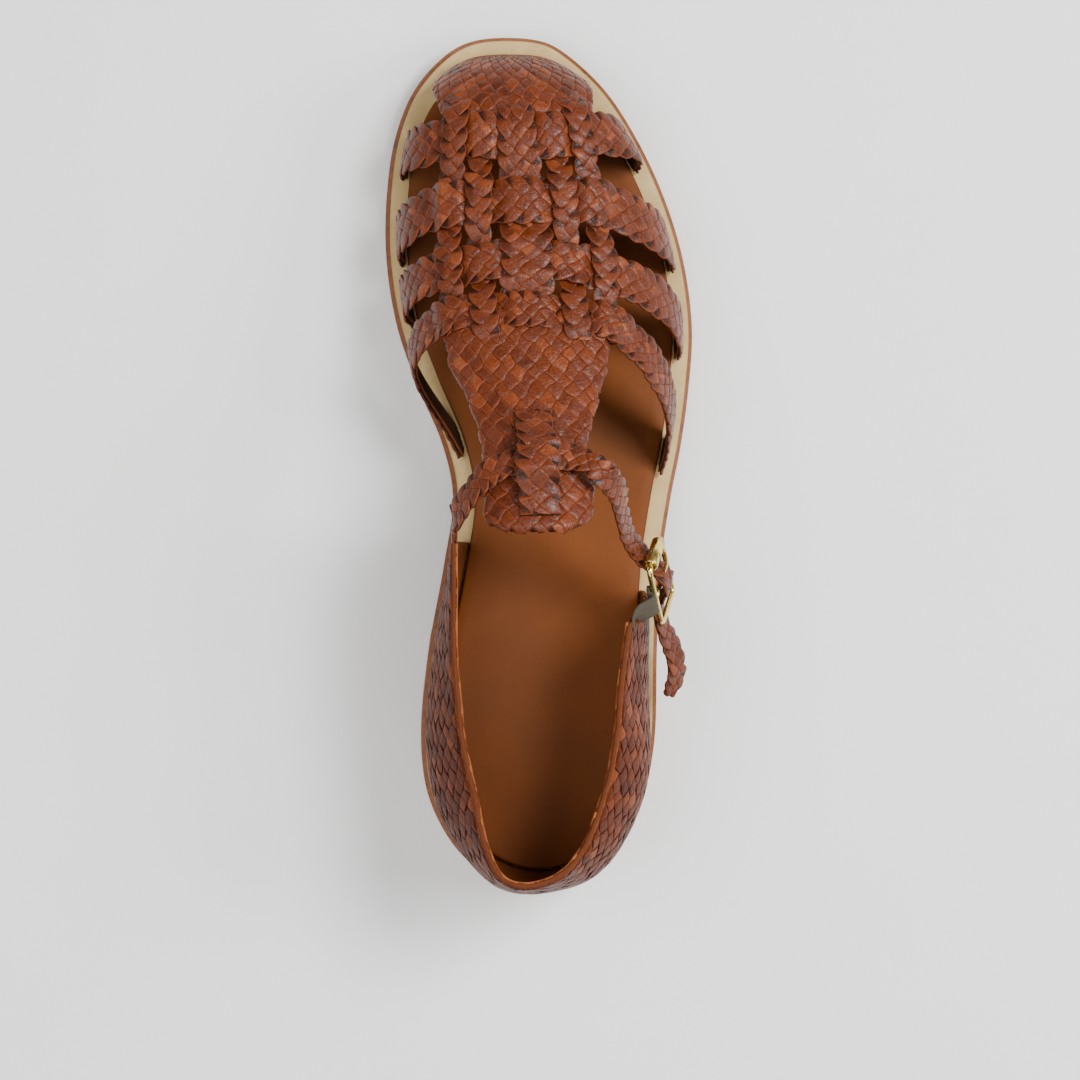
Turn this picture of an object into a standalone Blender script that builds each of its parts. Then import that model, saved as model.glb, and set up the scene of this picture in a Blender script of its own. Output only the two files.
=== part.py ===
"""A woven fisherman sandal for the right foot, standing empty on its sole.

Metres, +Z up, +Y towards the toe, +X towards the outer side of the foot. The heel's back is at y = 0
and the floor at z = 0 while the pieces are made; a root empty then centres the sandal over the origin.
"""

import functools
import math

import bmesh
import bpy
import numpy as np
from mathutils import Matrix, Vector

# Foot sizes
LENGTH = 0.260
BALL_WIDTH = 0.094
INSTEP_HEIGHT = 0.063
COLLAR_HEIGHT = 0.077

# Sole
OUTSOLE_THICK = 0.005
MIDSOLE_THICK = 0.004
INSOLE_THICK = 0.002
HEEL_RISE = 0.0105
TOE_SPRING = 0.007
RIM_WIDTH = 0.0014
BAND_WIDTH = 0.0065
TOE_BACK = 0.0024
TOE_BACK_FROM = 0.80
HEEL_BREAST = 0.30
TREAD_FROM = 0.60
TREAD_TO = 0.78

# Woven leather
WALL = 0.0022
RELIEF = 0.0005
CELL = 0.0047
WEAVE_STEP = 0.0008
PANEL_LEVEL = 0.0009
GAP = 0.0003

# Ankle strap, buckle and elastic
STRAP_WIDTH = 0.0088
STRAP_CLEAR = 0.0008
BRIDGE_WIDTH = 0.0105
BUCKLE_LENGTH = 0.0212
BUCKLE_WIDTH = 0.0170
WIRE = 0.0017
BEND = 1.2
ROLLER_DIAMETER = 0.004
ROLLER_LENGTH = 0.0108
BUCKLE_FORWARD = 0.0078
BUCKLE_OUT = 0.0040
STRAP_FALL = math.radians(40)
BUCKLE_LEAN = math.radians(20)
ELASTIC_THICK = 0.0010
ELASTIC_WIDTH = 0.0090
ELASTIC_SEAT = -0.0010

# Plan of the sole: station as a share of LENGTH, half widths as shares of BALL_WIDTH
PLAN_COLUMNS = ("station", "inner", "outer")
PLAN = (
    (0.012, 0.150, 0.138),
    (0.045, 0.268, 0.245),
    (0.105, 0.360, 0.332),
    (0.170, 0.387, 0.371),
    (0.280, 0.362, 0.381),
    (0.380, 0.312, 0.395),
    (0.460, 0.282, 0.429),
    (0.520, 0.314, 0.463),
    (0.590, 0.395, 0.491),
    (0.660, 0.463, 0.502),
    (0.740, 0.499, 0.473),
    (0.815, 0.498, 0.409),
    (0.885, 0.469, 0.316),
    (0.940, 0.406, 0.213),
    (0.980, 0.304, 0.091),
    (0.995, 0.225, 0.016),
)
HEEL_POINT = -0.008
TOE_POINT = -0.108

# Footbed: how far it has risen, as shares of HEEL_RISE and TOE_SPRING
BED_COLUMNS = ("station", "heel", "spring")
BED = (
    (0.00, 1.00, 0.00),
    (0.18, 0.97, 0.00),
    (0.30, 0.80, 0.00),
    (0.42, 0.50, 0.00),
    (0.52, 0.22, 0.00),
    (0.60, 0.00, 0.00),
    (0.78, 0.00, 0.00),
    (0.88, 0.00, 0.22),
    (0.94, 0.00, 0.50),
    (1.00, 0.00, 1.00),
)

# Sections of the last: crown as a share of INSTEP_HEIGHT above the feather line, crest and the swell of
# each side as shares of BALL_WIDTH, fullness as the exponent of the section's curve
LAST_COLUMNS = ("station", "crown", "crest", "fullness", "inner_swell", "outer_swell")
LAST = (
    (0.30, 1.160, -0.020, 1.90, 0.110, 0.030),
    (0.40, 1.100, -0.032, 1.90, 0.115, 0.020),
    (0.44, 1.050, -0.038, 1.95, 0.115, 0.020),
    (0.48, 1.000, -0.043, 2.00, 0.110, 0.020),
    (0.54, 0.905, -0.052, 2.10, 0.115, 0.025),
    (0.60, 0.810, -0.064, 2.15, 0.108, 0.030),
    (0.66, 0.703, -0.075, 2.20, 0.068, 0.035),
    (0.72, 0.611, -0.085, 2.30, 0.045, 0.035),
    (0.80, 0.540, -0.091, 2.40, 0.040, 0.040),
    (0.86, 0.468, -0.095, 2.40, 0.040, 0.060),
    (1.00, 0.400, -0.100, 2.40, 0.040, 0.060),
)
TOE_ROUND = 0.87

# Cross straps: station of the centre line at each girth, from -1 at the inner feather line over the
# crown at 0 to 1 at the outer one
GIRTHS = (-1.0, -0.75, -0.47, -0.30, 0.0, 0.30, 0.46, 0.62, 0.80, 1.0)
CROSS_STRAPS = {
    "toe_strap": (0.856, 0.860, 0.868, 0.874, 0.871, 0.875, 0.878, 0.876, 0.870, 0.862),
    "ball_strap": (0.757, 0.766, 0.788, 0.794, 0.797, 0.797, 0.791, 0.774, 0.757, 0.750),
    "waist_strap": (0.684, 0.692, 0.712, 0.720, 0.730, 0.721, 0.708, 0.688, 0.660, 0.645),
    "instep_strap": (0.518, 0.596, 0.648, 0.666, 0.670, 0.661, 0.632, 0.588, 0.545, 0.505),
}
STRAP_WIDTHS = {
    "toe_strap": (0.150, 0.150, 0.150),
    "ball_strap": (0.150, 0.150, 0.165),
    "waist_strap": (0.138, 0.138, 0.150),
    "instep_strap": (0.122, 0.124, 0.125),
}

# Lengthwise braids: girth of the centre line at each station, then the width at the front and the
# rear as shares of BALL_WIDTH
BRAID_STATIONS = (0.925, 0.90, 0.86, 0.80, 0.74, 0.69, 0.635)
BRAIDS = {
    "inner_braid": ((-0.375, -0.350, -0.331, -0.330, -0.328, -0.310, -0.300), 0.081, 0.081),
    "inner_middle_braid": ((-0.195, -0.192, -0.188, -0.186, -0.180, -0.165, -0.148), 0.083, 0.083),
    "middle_braid": ((0.005, 0.009, 0.019, 0.035, 0.035, 0.025, 0.020), 0.108, 0.178),
    "outer_middle_braid": ((0.222, 0.222, 0.221, 0.219, 0.213, 0.212, 0.200), 0.083, 0.083),
    "outer_braid": ((0.375, 0.366, 0.355, 0.352, 0.359, 0.342, 0.325), 0.080, 0.080),
}

# Edges of the toe panel and the tongue, as girths
TOE_PANEL_COLUMNS = ("share", "inner", "outer")
TOE_PANEL = (
    (0.00, -0.45, 0.47),
    (0.15, -0.52, 0.54),
    (0.35, -0.74, 0.70),
    (0.55, -1.02, 1.02),
    (1.00, -1.02, 1.02),
)
TOE_PANEL_REAR = 0.896
TONGUE_COLUMNS = ("station", "inner", "outer")
TONGUE = (
    (0.422, -0.120, 0.110),
    (0.430, -0.180, 0.165),
    (0.445, -0.193, 0.205),
    (0.480, -0.193, 0.211),
    (0.510, -0.195, 0.192),
    (0.550, -0.222, 0.235),
    (0.585, -0.270, 0.280),
    (0.620, -0.330, 0.320),
    (0.668, -0.340, 0.340),
)
BRIDGE_STATIONS = (0.553, 0.525, 0.510, 0.495, 0.480, 0.465, 0.437)
BRIDGE_LIFTS = (0.0, 0.35, 1.0, 1.0, 1.0, 0.35, 0.0)
BRIDGE_GIRTH = 0.010

# Heel quarter round the heel, from its inner front edge to its outer one: lean of the top and bulge
# of the middle as shares of BALL_WIDTH, top as a share of COLLAR_HEIGHT
QUARTER_COLUMNS = ("round", "lean", "bulge", "top")
QUARTER = (
    (0.000, -0.048, 0.020, 0.960),
    (0.130, 0.008, 0.036, 0.910),
    (0.260, 0.067, 0.044, 0.885),
    (0.345, 0.092, 0.042, 0.910),
    (0.430, 0.050, 0.036, 0.980),
    (0.485, 0.008, 0.035, 1.000),
    (0.545, 0.042, 0.032, 0.980),
    (0.610, 0.085, 0.047, 0.915),
    (0.720, 0.112, 0.049, 0.875),
    (0.850, 0.100, 0.022, 0.870),
    (1.000, 0.065, 0.010, 0.880),
)
QUARTER_INNER_FRONT = 0.410
QUARTER_OUTER_FRONT = 0.355
QUARTER_SLANT = 0.038
SEAT_DEPTH = 0.004

# Ankle strap where it crosses the tongue, as station and girth of the last
STRAP_ON_TONGUE = ((0.464, -0.205), (0.485, -0.125), (0.495, 0.010), (0.497, 0.130))

# Ankle strap in the open: station, across as a share of BALL_WIDTH, height as a share of COLLAR_HEIGHT
# and how far it leans outwards in degrees
STRAP_INSIDE = ((0.440, -0.283, 0.925, -60),)
STRAP_OUTSIDE = (
    (0.490, 0.166, 1.020, 25),
    (0.469, 0.213, 0.945, 45),
    (0.441, 0.235, 0.850, 60),
    (0.415, 0.260, 0.766, 68),
)

# Ankle strap beyond the buckle: round and height of the quarter, and how far it stands off it
STRAP_TAIL = ((0.905, 0.40, 0.0060), (0.880, 0.36, 0.0058), (0.855, 0.33, 0.0034))
TAIL_LEAN = math.radians(42)
STRAP_ROOT_HEIGHT = 0.88
BUCKLE_HEIGHT = 0.60


@functools.lru_cache(maxsize=None)
def column(table, names, name):
    """Keys, values and slopes of one column; a slope is level at a peak, so a flat row stays flat."""
    keys = np.array([row[0] for row in table])
    values = np.array([row[names.index(name)] for row in table])
    steps = np.diff(values) / np.diff(keys)
    slopes = np.zeros(len(keys))
    slopes[0], slopes[-1] = steps[0], steps[-1]
    for i in range(1, len(keys) - 1):
        before, after = steps[i - 1], steps[i]
        if before * after > 0:
            slopes[i] = 2 * before * after / (before + after)
    return keys, values, slopes


def read(table, names, name, key):
    """The named column of a table at a key of its first column, as a smooth curve through its rows."""
    keys, values, slopes = column(table, names, name)
    key = min(max(key, keys[0]), keys[-1])
    i = min(max(int(np.searchsorted(keys, key)) - 1, 0), len(keys) - 2)
    span = keys[i + 1] - keys[i]
    t = (key - keys[i]) / span
    start = values[i] * (1 + 2 * t) * (1 - t) ** 2 + slopes[i] * span * t * (1 - t) ** 2
    end = values[i + 1] * t * t * (3 - 2 * t) + slopes[i + 1] * span * t * t * (t - 1)
    return float(start + end)


def smooth_curve(points, steps, closed=False):
    """A centripetal Catmull-Rom curve through the points."""
    points = np.array(points, float)
    if closed:
        points = np.vstack([points[-1], points, points[:2]])
    else:
        points = np.vstack([2 * points[0] - points[1], points, 2 * points[-1] - points[-2]])
    spans = np.sqrt(np.linalg.norm(np.diff(points, axis=0), axis=1))
    knots = np.concatenate([[0.0], np.cumsum(spans)])

    def mix(first, second, low, high, t):
        return ((high - t) * first + (t - low) * second) / (high - low)

    curve = []
    for i in range(1, len(points) - 2):
        k0, k1, k2, k3 = knots[i - 1 : i + 3]
        before, start, end, after = points[i - 1 : i + 3]
        for t in np.linspace(k1, k2, steps, endpoint=False):
            a1 = mix(before, start, k0, k1, t)
            a2 = mix(start, end, k1, k2, t)
            a3 = mix(end, after, k2, k3, t)
            curve.append(mix(mix(a1, a2, k0, k2, t), mix(a2, a3, k1, k3, t), k1, k2, t))
    if not closed:
        curve.append(points[-2])
    return np.array(curve)


def lengths_along(points):
    return np.concatenate([[0.0], np.cumsum(np.linalg.norm(np.diff(points, axis=0), axis=1))])


def sole_outline(inset, steps=6):
    """The sole's plan, anticlockwise from the heel's back, moved in by the inset."""
    outer = [(side * BALL_WIDTH, station * LENGTH) for station, _, side in PLAN]
    inner = [(-side * BALL_WIDTH, station * LENGTH) for station, side, _ in reversed(PLAN)]
    heel, toe = (HEEL_POINT * BALL_WIDTH, 0.0), (TOE_POINT * BALL_WIDTH, LENGTH)
    curve = smooth_curve([heel] + outer + [toe] + inner, steps, closed=True)
    along = np.roll(curve, -1, axis=0) - np.roll(curve, 1, axis=0)
    along /= np.linalg.norm(along, axis=1)[:, None]
    return curve + inset * np.stack([-along[:, 1], along[:, 0]], axis=1)


def set_back(outline):
    """Moves the toe of an outline back, where the upper leaves a wider band of midsole."""
    share = np.clip((outline[:, 1] / LENGTH - TOE_BACK_FROM) / (1 - TOE_BACK_FROM), 0.0, 1.0)
    outline[:, 1] -= TOE_BACK * share**2 * (3 - 2 * share)
    return outline


def outsole_top(y):
    station = y / LENGTH
    heel = read(BED, BED_COLUMNS, "heel", station)
    spring = read(BED, BED_COLUMNS, "spring", station)
    return OUTSOLE_THICK + HEEL_RISE * heel + TOE_SPRING * spring


def outsole_under(y):
    """The heel stands on the floor, the waist is clear of it and the tread stands on it again."""
    station = y / LENGTH
    if station <= HEEL_BREAST or TREAD_FROM <= station <= TREAD_TO:
        return 0.0
    return outsole_top(y) - OUTSOLE_THICK


def midsole_top(y):
    return outsole_top(y) + GAP + MIDSOLE_THICK


def feather_height(y):
    """Where the upper stands on the midsole, a gap above it."""
    return midsole_top(y) + GAP


UPPER_INSET = BAND_WIDTH - GAP
FEATHER = set_back(sole_outline(UPPER_INSET, 16))
TOE_ROW = int(FEATHER[:, 1].argmax())
FEATHER_TOE = float(FEATHER[TOE_ROW, 1])
FEATHER_HEEL = float(FEATHER[:, 1].min())
OUTER_FEATHER = FEATHER[: TOE_ROW + 1]
INNER_FEATHER = FEATHER[TOE_ROW:][::-1]
QUADRANT = np.linspace(0.0, math.pi / 2, 49)


def section_half(y, outer):
    """One side of the last's section at y, from the crown down to the feather line: x, z and length."""
    station = y / LENGTH
    values = {name: read(LAST, LAST_COLUMNS, name, station) for name in LAST_COLUMNS[1:]}
    toe_start = TOE_ROUND * LENGTH
    closing = min(max((y - toe_start) / (FEATHER_TOE - toe_start), 0.0), 1.0)
    round_off = math.sqrt(1.0 - closing**2)
    height = values["crown"] * INSTEP_HEIGHT * round_off
    clear = np.clip(y, FEATHER_HEEL, FEATHER_TOE)
    inner_x = float(np.interp(clear, INNER_FEATHER[:, 1], INNER_FEATHER[:, 0]))
    outer_x = float(np.interp(clear, OUTER_FEATHER[:, 1], OUTER_FEATHER[:, 0]))
    crest = min(max(values["crest"] * BALL_WIDTH, inner_x), outer_x)
    foot = outer_x if outer else inner_x
    swell = values["outer_swell"] if outer else -values["inner_swell"]
    power = 2.0 / values["fullness"]
    x = crest + (foot - crest) * np.sin(QUADRANT) ** power
    x = x + swell * BALL_WIDTH * round_off * np.sin(2 * QUADRANT)
    z = feather_height(y) + height * np.cos(QUADRANT) ** power
    return x, z, lengths_along(np.stack([x, z], axis=1))


def last_point(y, girth):
    """A point of the last's surface; a girth past 1 or -1 goes on straight down into the sole."""
    x, z, length = section_half(y, girth >= 0)
    share = min(abs(girth), 1.0) * length[-1]
    below = (abs(girth) - min(abs(girth), 1.0)) * length[-1]
    return np.array([np.interp(share, length, x), y, np.interp(share, length, z) - below])


def last_slopes(y, girth):
    """How the surface moves with y and with girth."""
    step_y, step_g = 0.0006, 0.012
    high = min(y + step_y, FEATHER_TOE)
    low = high - 2 * step_y
    right = min(girth + step_g, 1.05)
    left = max(girth - step_g, -1.05)
    with_y = (last_point(high, girth) - last_point(low, girth)) / (high - low)
    with_girth = (last_point(y, right) - last_point(y, left)) / (right - left)
    return with_y, with_girth


def last_normal(y, girth):
    with_y, with_girth = last_slopes(y, girth)
    normal = np.cross(with_girth, with_y)
    return normal / np.linalg.norm(normal)


def beside(y, girth, across, distance):
    """The last's coordinates at a distance from a point of it, along a direction in its surface."""
    slopes = np.stack(last_slopes(y, girth), axis=1)
    move = np.linalg.lstsq(slopes, across * distance, rcond=None)[0]
    return min(y + move[0], FEATHER_TOE - 1e-4), girth + move[1]


def quarter_path():
    """The feather line round the heel, from the quarter's inner front edge to its outer one."""
    inner = [point for point in INNER_FEATHER if point[1] < QUARTER_INNER_FRONT * LENGTH]
    outer = [point for point in OUTER_FEATHER if point[1] < QUARTER_OUTER_FRONT * LENGTH]
    return np.array(inner[::-1] + outer[1:])


QUARTER_LINE = quarter_path()
QUARTER_LENGTHS = lengths_along(QUARTER_LINE)
QUARTER_LENGTH = float(QUARTER_LENGTHS[-1])


def quarter_point(round_share, height_share):
    """The quarter's inner face, and its outward direction in plan."""
    reach = round_share * QUARTER_LENGTH
    step = 0.004

    def on_line(at):
        return np.array([np.interp(at, QUARTER_LENGTHS, QUARTER_LINE[:, k]) for k in (0, 1)])

    along = on_line(min(reach + step, QUARTER_LENGTH)) - on_line(max(reach - step, 0.0))
    along /= np.linalg.norm(along)
    outward = np.array([along[1], -along[0]])
    row = {name: read(QUARTER, QUARTER_COLUMNS, name, round_share) for name in QUARTER_COLUMNS[1:]}
    rise = max(height_share, 0.0)
    inward = row["lean"] * rise**1.6 - row["bulge"] * math.sin(math.pi * rise**0.9)
    point = on_line(reach) - outward * inward * BALL_WIDTH
    foot = feather_height(point[1])
    z = foot + height_share * (row["top"] * COLLAR_HEIGHT - foot)
    return np.array([point[0], point[1], z]), np.array([outward[0], outward[1], 0.0])


def new_object(name, mesh, collection, colour, roughness, metallic=0.0):
    obj = bpy.data.objects.new(name, mesh)
    collection.objects.link(obj)
    material = bpy.data.materials.new(name + "_material")
    material.use_nodes = True
    shader = material.node_tree.nodes["Principled BSDF"]
    shader.inputs["Base Color"].default_value = (*colour, 1.0)
    shader.inputs["Roughness"].default_value = roughness
    shader.inputs["Metallic"].default_value = metallic
    mesh.materials.append(material)
    return obj


def helper_object(name, mesh, collection):
    obj = bpy.data.objects.new(name, mesh)
    collection.objects.link(obj)
    obj.hide_render = True
    obj.display_type = "WIRE"
    return obj


def flat_solid(name, points, half_depth, matrix=Matrix()):
    """A mesh of a filled flat outline, extruded both ways and then turned by the matrix."""
    curve = bpy.data.curves.new(name, "CURVE")
    curve.dimensions = "2D"
    curve.fill_mode = "BOTH"
    curve.extrude = half_depth
    spline = curve.splines.new("POLY")
    spline.points.add(len(points) - 1)
    for target, (x, y) in zip(spline.points, points):
        target.co = (x, y, 0.0, 1.0)
    spline.use_cyclic_u = True
    return mesh_of_curve(name, curve, matrix)


def mesh_of_curve(name, curve, matrix=Matrix()):
    guide = bpy.data.objects.new(name + "_guide", curve)
    bpy.context.scene.collection.objects.link(guide)
    graph = bpy.context.evaluated_depsgraph_get()
    mesh = bpy.data.meshes.new_from_object(guide.evaluated_get(graph))
    bpy.data.objects.remove(guide)
    bm = bmesh.new()
    bm.from_mesh(mesh)
    bmesh.ops.remove_doubles(bm, verts=bm.verts, dist=1e-6)
    bmesh.ops.recalc_face_normals(bm, faces=bm.faces)
    bm.transform(matrix)
    bm.to_mesh(mesh)
    bm.free()
    mesh.name = name
    return mesh


def wire_mesh(name, points, diameter, closed=False, rings=2):
    """A round wire through the points, as a mesh."""
    curve = bpy.data.curves.new(name, "CURVE")
    curve.dimensions = "3D"
    curve.bevel_depth = diameter / 2
    curve.bevel_resolution = rings
    curve.use_fill_caps = True
    spline = curve.splines.new("POLY")
    spline.points.add(len(points) - 1)
    for target, point in zip(spline.points, points):
        target.co = (*point, 1.0)
    spline.use_cyclic_u = closed
    return mesh_of_curve(name, curve)


# Turns a flat outline drawn in length and height upright, to run along Y and Z
UPRIGHT = Matrix(((0, 0, 1, 0), (1, 0, 0, 0), (0, 1, 0, 0), (0, 0, 0, 1)))
PROFILE_STATIONS = sorted(set(np.round(np.linspace(-0.02, 1.02, 27), 4)) | {TREAD_FROM, TREAD_TO})


def side_profile(name, under, top, helpers):
    """A wide solid between two heights that change along the shoe."""
    stations = [s for s in PROFILE_STATIONS if abs(s - HEEL_BREAST) > 0.012]
    stations = sorted(stations + [HEEL_BREAST, HEEL_BREAST + 0.006])
    low = [(s * LENGTH, under(s * LENGTH)) for s in stations]
    high = [(s * LENGTH, top(s * LENGTH)) for s in reversed(stations)]
    mesh = flat_solid(name, low + high, BALL_WIDTH, UPRIGHT)
    return helper_object(name, mesh, helpers)


def join(obj, operation, other, name):
    boolean = obj.modifiers.new(name, "BOOLEAN")
    boolean.operation = operation
    boolean.solver = "EXACT"
    if isinstance(other, bpy.types.Collection):
        boolean.operand_type = "COLLECTION"
        boolean.collection = other
    else:
        boolean.object = other


def sole_layer(name, outline, under, top, parts, helpers, colour, roughness):
    height = HEEL_RISE + OUTSOLE_THICK + MIDSOLE_THICK + INSOLE_THICK + TOE_SPRING
    mesh = flat_solid(name, outline, height)
    obj = new_object(name, mesh, parts, colour, roughness)
    join(obj, "INTERSECT", side_profile(name + "_profile", under, top, helpers), "side profile")
    return obj


def sole(parts, helpers):
    sole_layer(
        "outsole",
        sole_outline(0.0),
        outsole_under,
        outsole_top,
        parts,
        helpers,
        (0.16, 0.06, 0.02),
        0.6,
    )
    sole_layer(
        "midsole",
        sole_outline(RIM_WIDTH),
        lambda y: outsole_top(y) + GAP,
        midsole_top,
        parts,
        helpers,
        (0.55, 0.38, 0.23),
        0.7,
    )
    sole_layer(
        "insole",
        set_back(sole_outline(BAND_WIDTH)),
        lambda y: midsole_top(y) + GAP,
        lambda y: midsole_top(y) + GAP + INSOLE_THICK,
        parts,
        helpers,
        (0.19, 0.06, 0.01),
        0.5,
    )


def woven_wall(name, rows, columns, place, thick=WALL, relief=RELIEF):
    """A closed wall with a raised diamond for each crossing of its strips.

    place gives a point of the inner face and the outward direction at two shares of the wall.
    """
    sheet = bmesh.new()
    bmesh.ops.create_grid(sheet, x_segments=rows, y_segments=columns, size=0.5)
    spots = []
    for vert in sheet.verts:
        row, col = round((vert.co.x + 0.5) * rows), round((vert.co.y + 0.5) * columns)
        point, outward = place(row / rows, col / columns)
        spots.append((vert, (row + col) % 2 == 1, Vector(point), Vector(outward)))
    raised = {}
    for vert, high, point, outward in spots:
        raised[vert] = high
        vert.co = point + outward * (thick + (relief if high else 0.0))
    for face in list(sheet.faces):
        low = [vert for vert in face.verts if not raised[vert]]
        bmesh.utils.face_split(face, low[0], low[1])
    sheet.normal_update()
    middle = spots[len(spots) // 2]
    if middle[0].normal.dot(middle[3]) < 0:
        bmesh.ops.reverse_faces(sheet, faces=sheet.faces)
    skin = bmesh.ops.extrude_face_region(sheet, geom=list(sheet.faces), use_keep_orig=True)
    copies = [item for item in skin["geom"] if isinstance(item, bmesh.types.BMVert)]
    inner_point = {tuple(vert.co): point for vert, _, point, _ in spots}
    for copy in copies:
        copy.co = inner_point[tuple(copy.co)]
    bmesh.ops.recalc_face_normals(sheet, faces=sheet.faces)
    mesh = bpy.data.meshes.new(name)
    sheet.to_mesh(mesh)
    sheet.free()
    return mesh


def count(length, cell=CELL):
    return max(2, round(length / cell))


def weave_level(position, crossings, first_over):
    """How high a strap lies where it passes over and under those it crosses."""
    turns = [1.0 if (i % 2 == 0) == first_over else 0.0 for i in range(len(crossings))]
    spots = [crossings[0] - (crossings[1] - crossings[0])] + list(crossings)
    spots.append(crossings[-1] + (crossings[-1] - crossings[-2]))
    levels = [0.0] + turns + [0.0]
    if spots[0] > spots[-1]:
        spots, levels = spots[::-1], levels[::-1]
    at = int(np.clip(np.searchsorted(spots, position) - 1, 0, len(spots) - 2))
    share = np.clip((position - spots[at]) / (spots[at + 1] - spots[at]), 0.0, 1.0)
    ease = share * share * (3 - 2 * share)
    return 2 * WEAVE_STEP * (levels[at] + (levels[at + 1] - levels[at]) * ease)


def strap_station(name, girth):
    return float(np.interp(girth, GIRTHS, CROSS_STRAPS[name]))


def braid_girth(name, station):
    return float(np.interp(station, BRAID_STATIONS[::-1], BRAIDS[name][0][::-1]))


def band_place(route, half_width, level):
    """Places a band whose centre line is a route of (y, girth) on the last."""

    def place(share, across_share):
        y, girth = route(share)
        ahead, behind = route(min(share + 0.01, 1.0)), route(max(share - 0.01, 0.0))
        slopes = last_slopes(y, girth)
        along = slopes[0] * (ahead[0] - behind[0]) + slopes[1] * (ahead[1] - behind[1])
        normal = last_normal(y, girth)
        across = np.cross(normal, along)
        across /= np.linalg.norm(across)
        distance = (2 * across_share - 1) * half_width(share)
        side_y, side_girth = beside(y, girth, across, distance)
        outward = last_normal(side_y, side_girth)
        return last_point(side_y, side_girth) + outward * level(share), outward

    return place


def cross_strap(order, name):
    braids = list(BRAIDS)
    reach = 1.06
    station = strap_station(name, 0.0)
    crossings = [braid_girth(braid, station) for braid in braids]
    curve = smooth_curve([(strap_station(name, g) * LENGTH, g) for g in GIRTHS], 4)

    def route(share):
        girth = -reach + 2 * reach * share
        return float(np.interp(girth, curve[:, 1], curve[:, 0])), girth

    def half_width(share):
        return np.interp(share, (0.0, 0.5, 1.0), STRAP_WIDTHS[name]) * BALL_WIDTH / 2

    def level(share):
        return weave_level(route(share)[1], crossings, order % 2 == 1)

    girth_length = sum(section_half(station * LENGTH, side)[2][-1] for side in (False, True))
    columns = count(2 * half_width(0.5))
    return woven_wall(name, count(girth_length), columns, band_place(route, half_width, level))


def lengthwise_braid(order, name):
    _, front_width, rear_width = BRAIDS[name]
    front, rear = BRAID_STATIONS[0], BRAID_STATIONS[-1]
    girth = braid_girth(name, (front + rear) / 2)
    crossings = [strap_station(strap, girth) for strap in CROSS_STRAPS]

    def route(share):
        station = front + (rear - front) * share
        return station * LENGTH, braid_girth(name, station)

    def half_width(share):
        growth = min(share / 0.6, 1.0)
        return (front_width + (rear_width - front_width) * growth) * BALL_WIDTH / 2

    def level(share):
        return weave_level(front + (rear - front) * share, crossings, order % 2 == 0)

    columns = count(2 * half_width(0.7))
    rows = count((front - rear) * LENGTH * 1.12)
    return woven_wall(name, rows, columns, band_place(route, half_width, level))


def toe_panel():
    """The woven cap of the toe, down to the feather line at the front."""
    rear = TOE_PANEL_REAR * LENGTH
    start = math.asin((rear - TOE_ROUND * LENGTH) / (FEATHER_TOE - TOE_ROUND * LENGTH))
    end = math.radians(86)

    def place(share, across_share):
        turn = start + (end - start) * share
        y = TOE_ROUND * LENGTH + (FEATHER_TOE - TOE_ROUND * LENGTH) * math.sin(turn)
        inner = read(TOE_PANEL, TOE_PANEL_COLUMNS, "inner", share)
        outer = read(TOE_PANEL, TOE_PANEL_COLUMNS, "outer", share)
        girth = inner + (outer - inner) * across_share
        outward = last_normal(y, girth)
        return last_point(y, girth) + outward * PANEL_LEVEL, outward

    return woven_wall("toe_panel", 9, 14, place)


def tongue_edges(station):
    return [read(TONGUE, TONGUE_COLUMNS, side, station) for side in ("inner", "outer")]


def tongue():
    rear, front = TONGUE[0][0], TONGUE[-1][0]

    def place(share, across_share):
        station = rear + (front - rear) * share
        inner, outer = tongue_edges(station)
        girth = inner + (outer - inner) * across_share
        y = station * LENGTH
        outward = last_normal(y, girth)
        return last_point(y, girth) + outward * PANEL_LEVEL, outward

    return woven_wall("tongue", count((front - rear) * LENGTH * 1.2), 9, place)


def bridge():
    """The tongue's middle braid, raised over the ankle strap."""
    lift = PANEL_LEVEL + 2 * (WALL + RELIEF + STRAP_CLEAR)
    root = PANEL_LEVEL + WALL * 0.7

    def route(share):
        ends = BRIDGE_STATIONS[0], BRIDGE_STATIONS[-1]
        return (ends[0] + (ends[1] - ends[0]) * share) * LENGTH, BRIDGE_GIRTH

    def level(share):
        station = route(share)[0] / LENGTH
        rise = np.interp(station, BRIDGE_STATIONS[::-1], BRIDGE_LIFTS[::-1])
        return root + rise * (lift - root)

    length = (BRIDGE_STATIONS[0] - BRIDGE_STATIONS[-1]) * LENGTH * 1.2
    place = band_place(route, lambda share: BRIDGE_WIDTH / 2, level)
    return woven_wall("bridge", count(length, CELL * 0.7), 2, place)


def vamp(parts, helpers, pieces, seat):
    """Toe panel, braids, cross straps and tongue, joined where they cross."""
    body = new_object("vamp", toe_panel(), parts, (0.26, 0.07, 0.03), 0.4)
    meshes = [cross_strap(order, name) for order, name in enumerate(CROSS_STRAPS)]
    meshes += [lengthwise_braid(order, name) for order, name in enumerate(BRAIDS)]
    meshes += [tongue(), bridge()]
    for mesh in meshes:
        helper_object(mesh.name, mesh, pieces)
    join(body, "UNION", pieces, "straps and braids")
    join(body, "DIFFERENCE", seat, "seat on the midsole")
    return body


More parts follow.
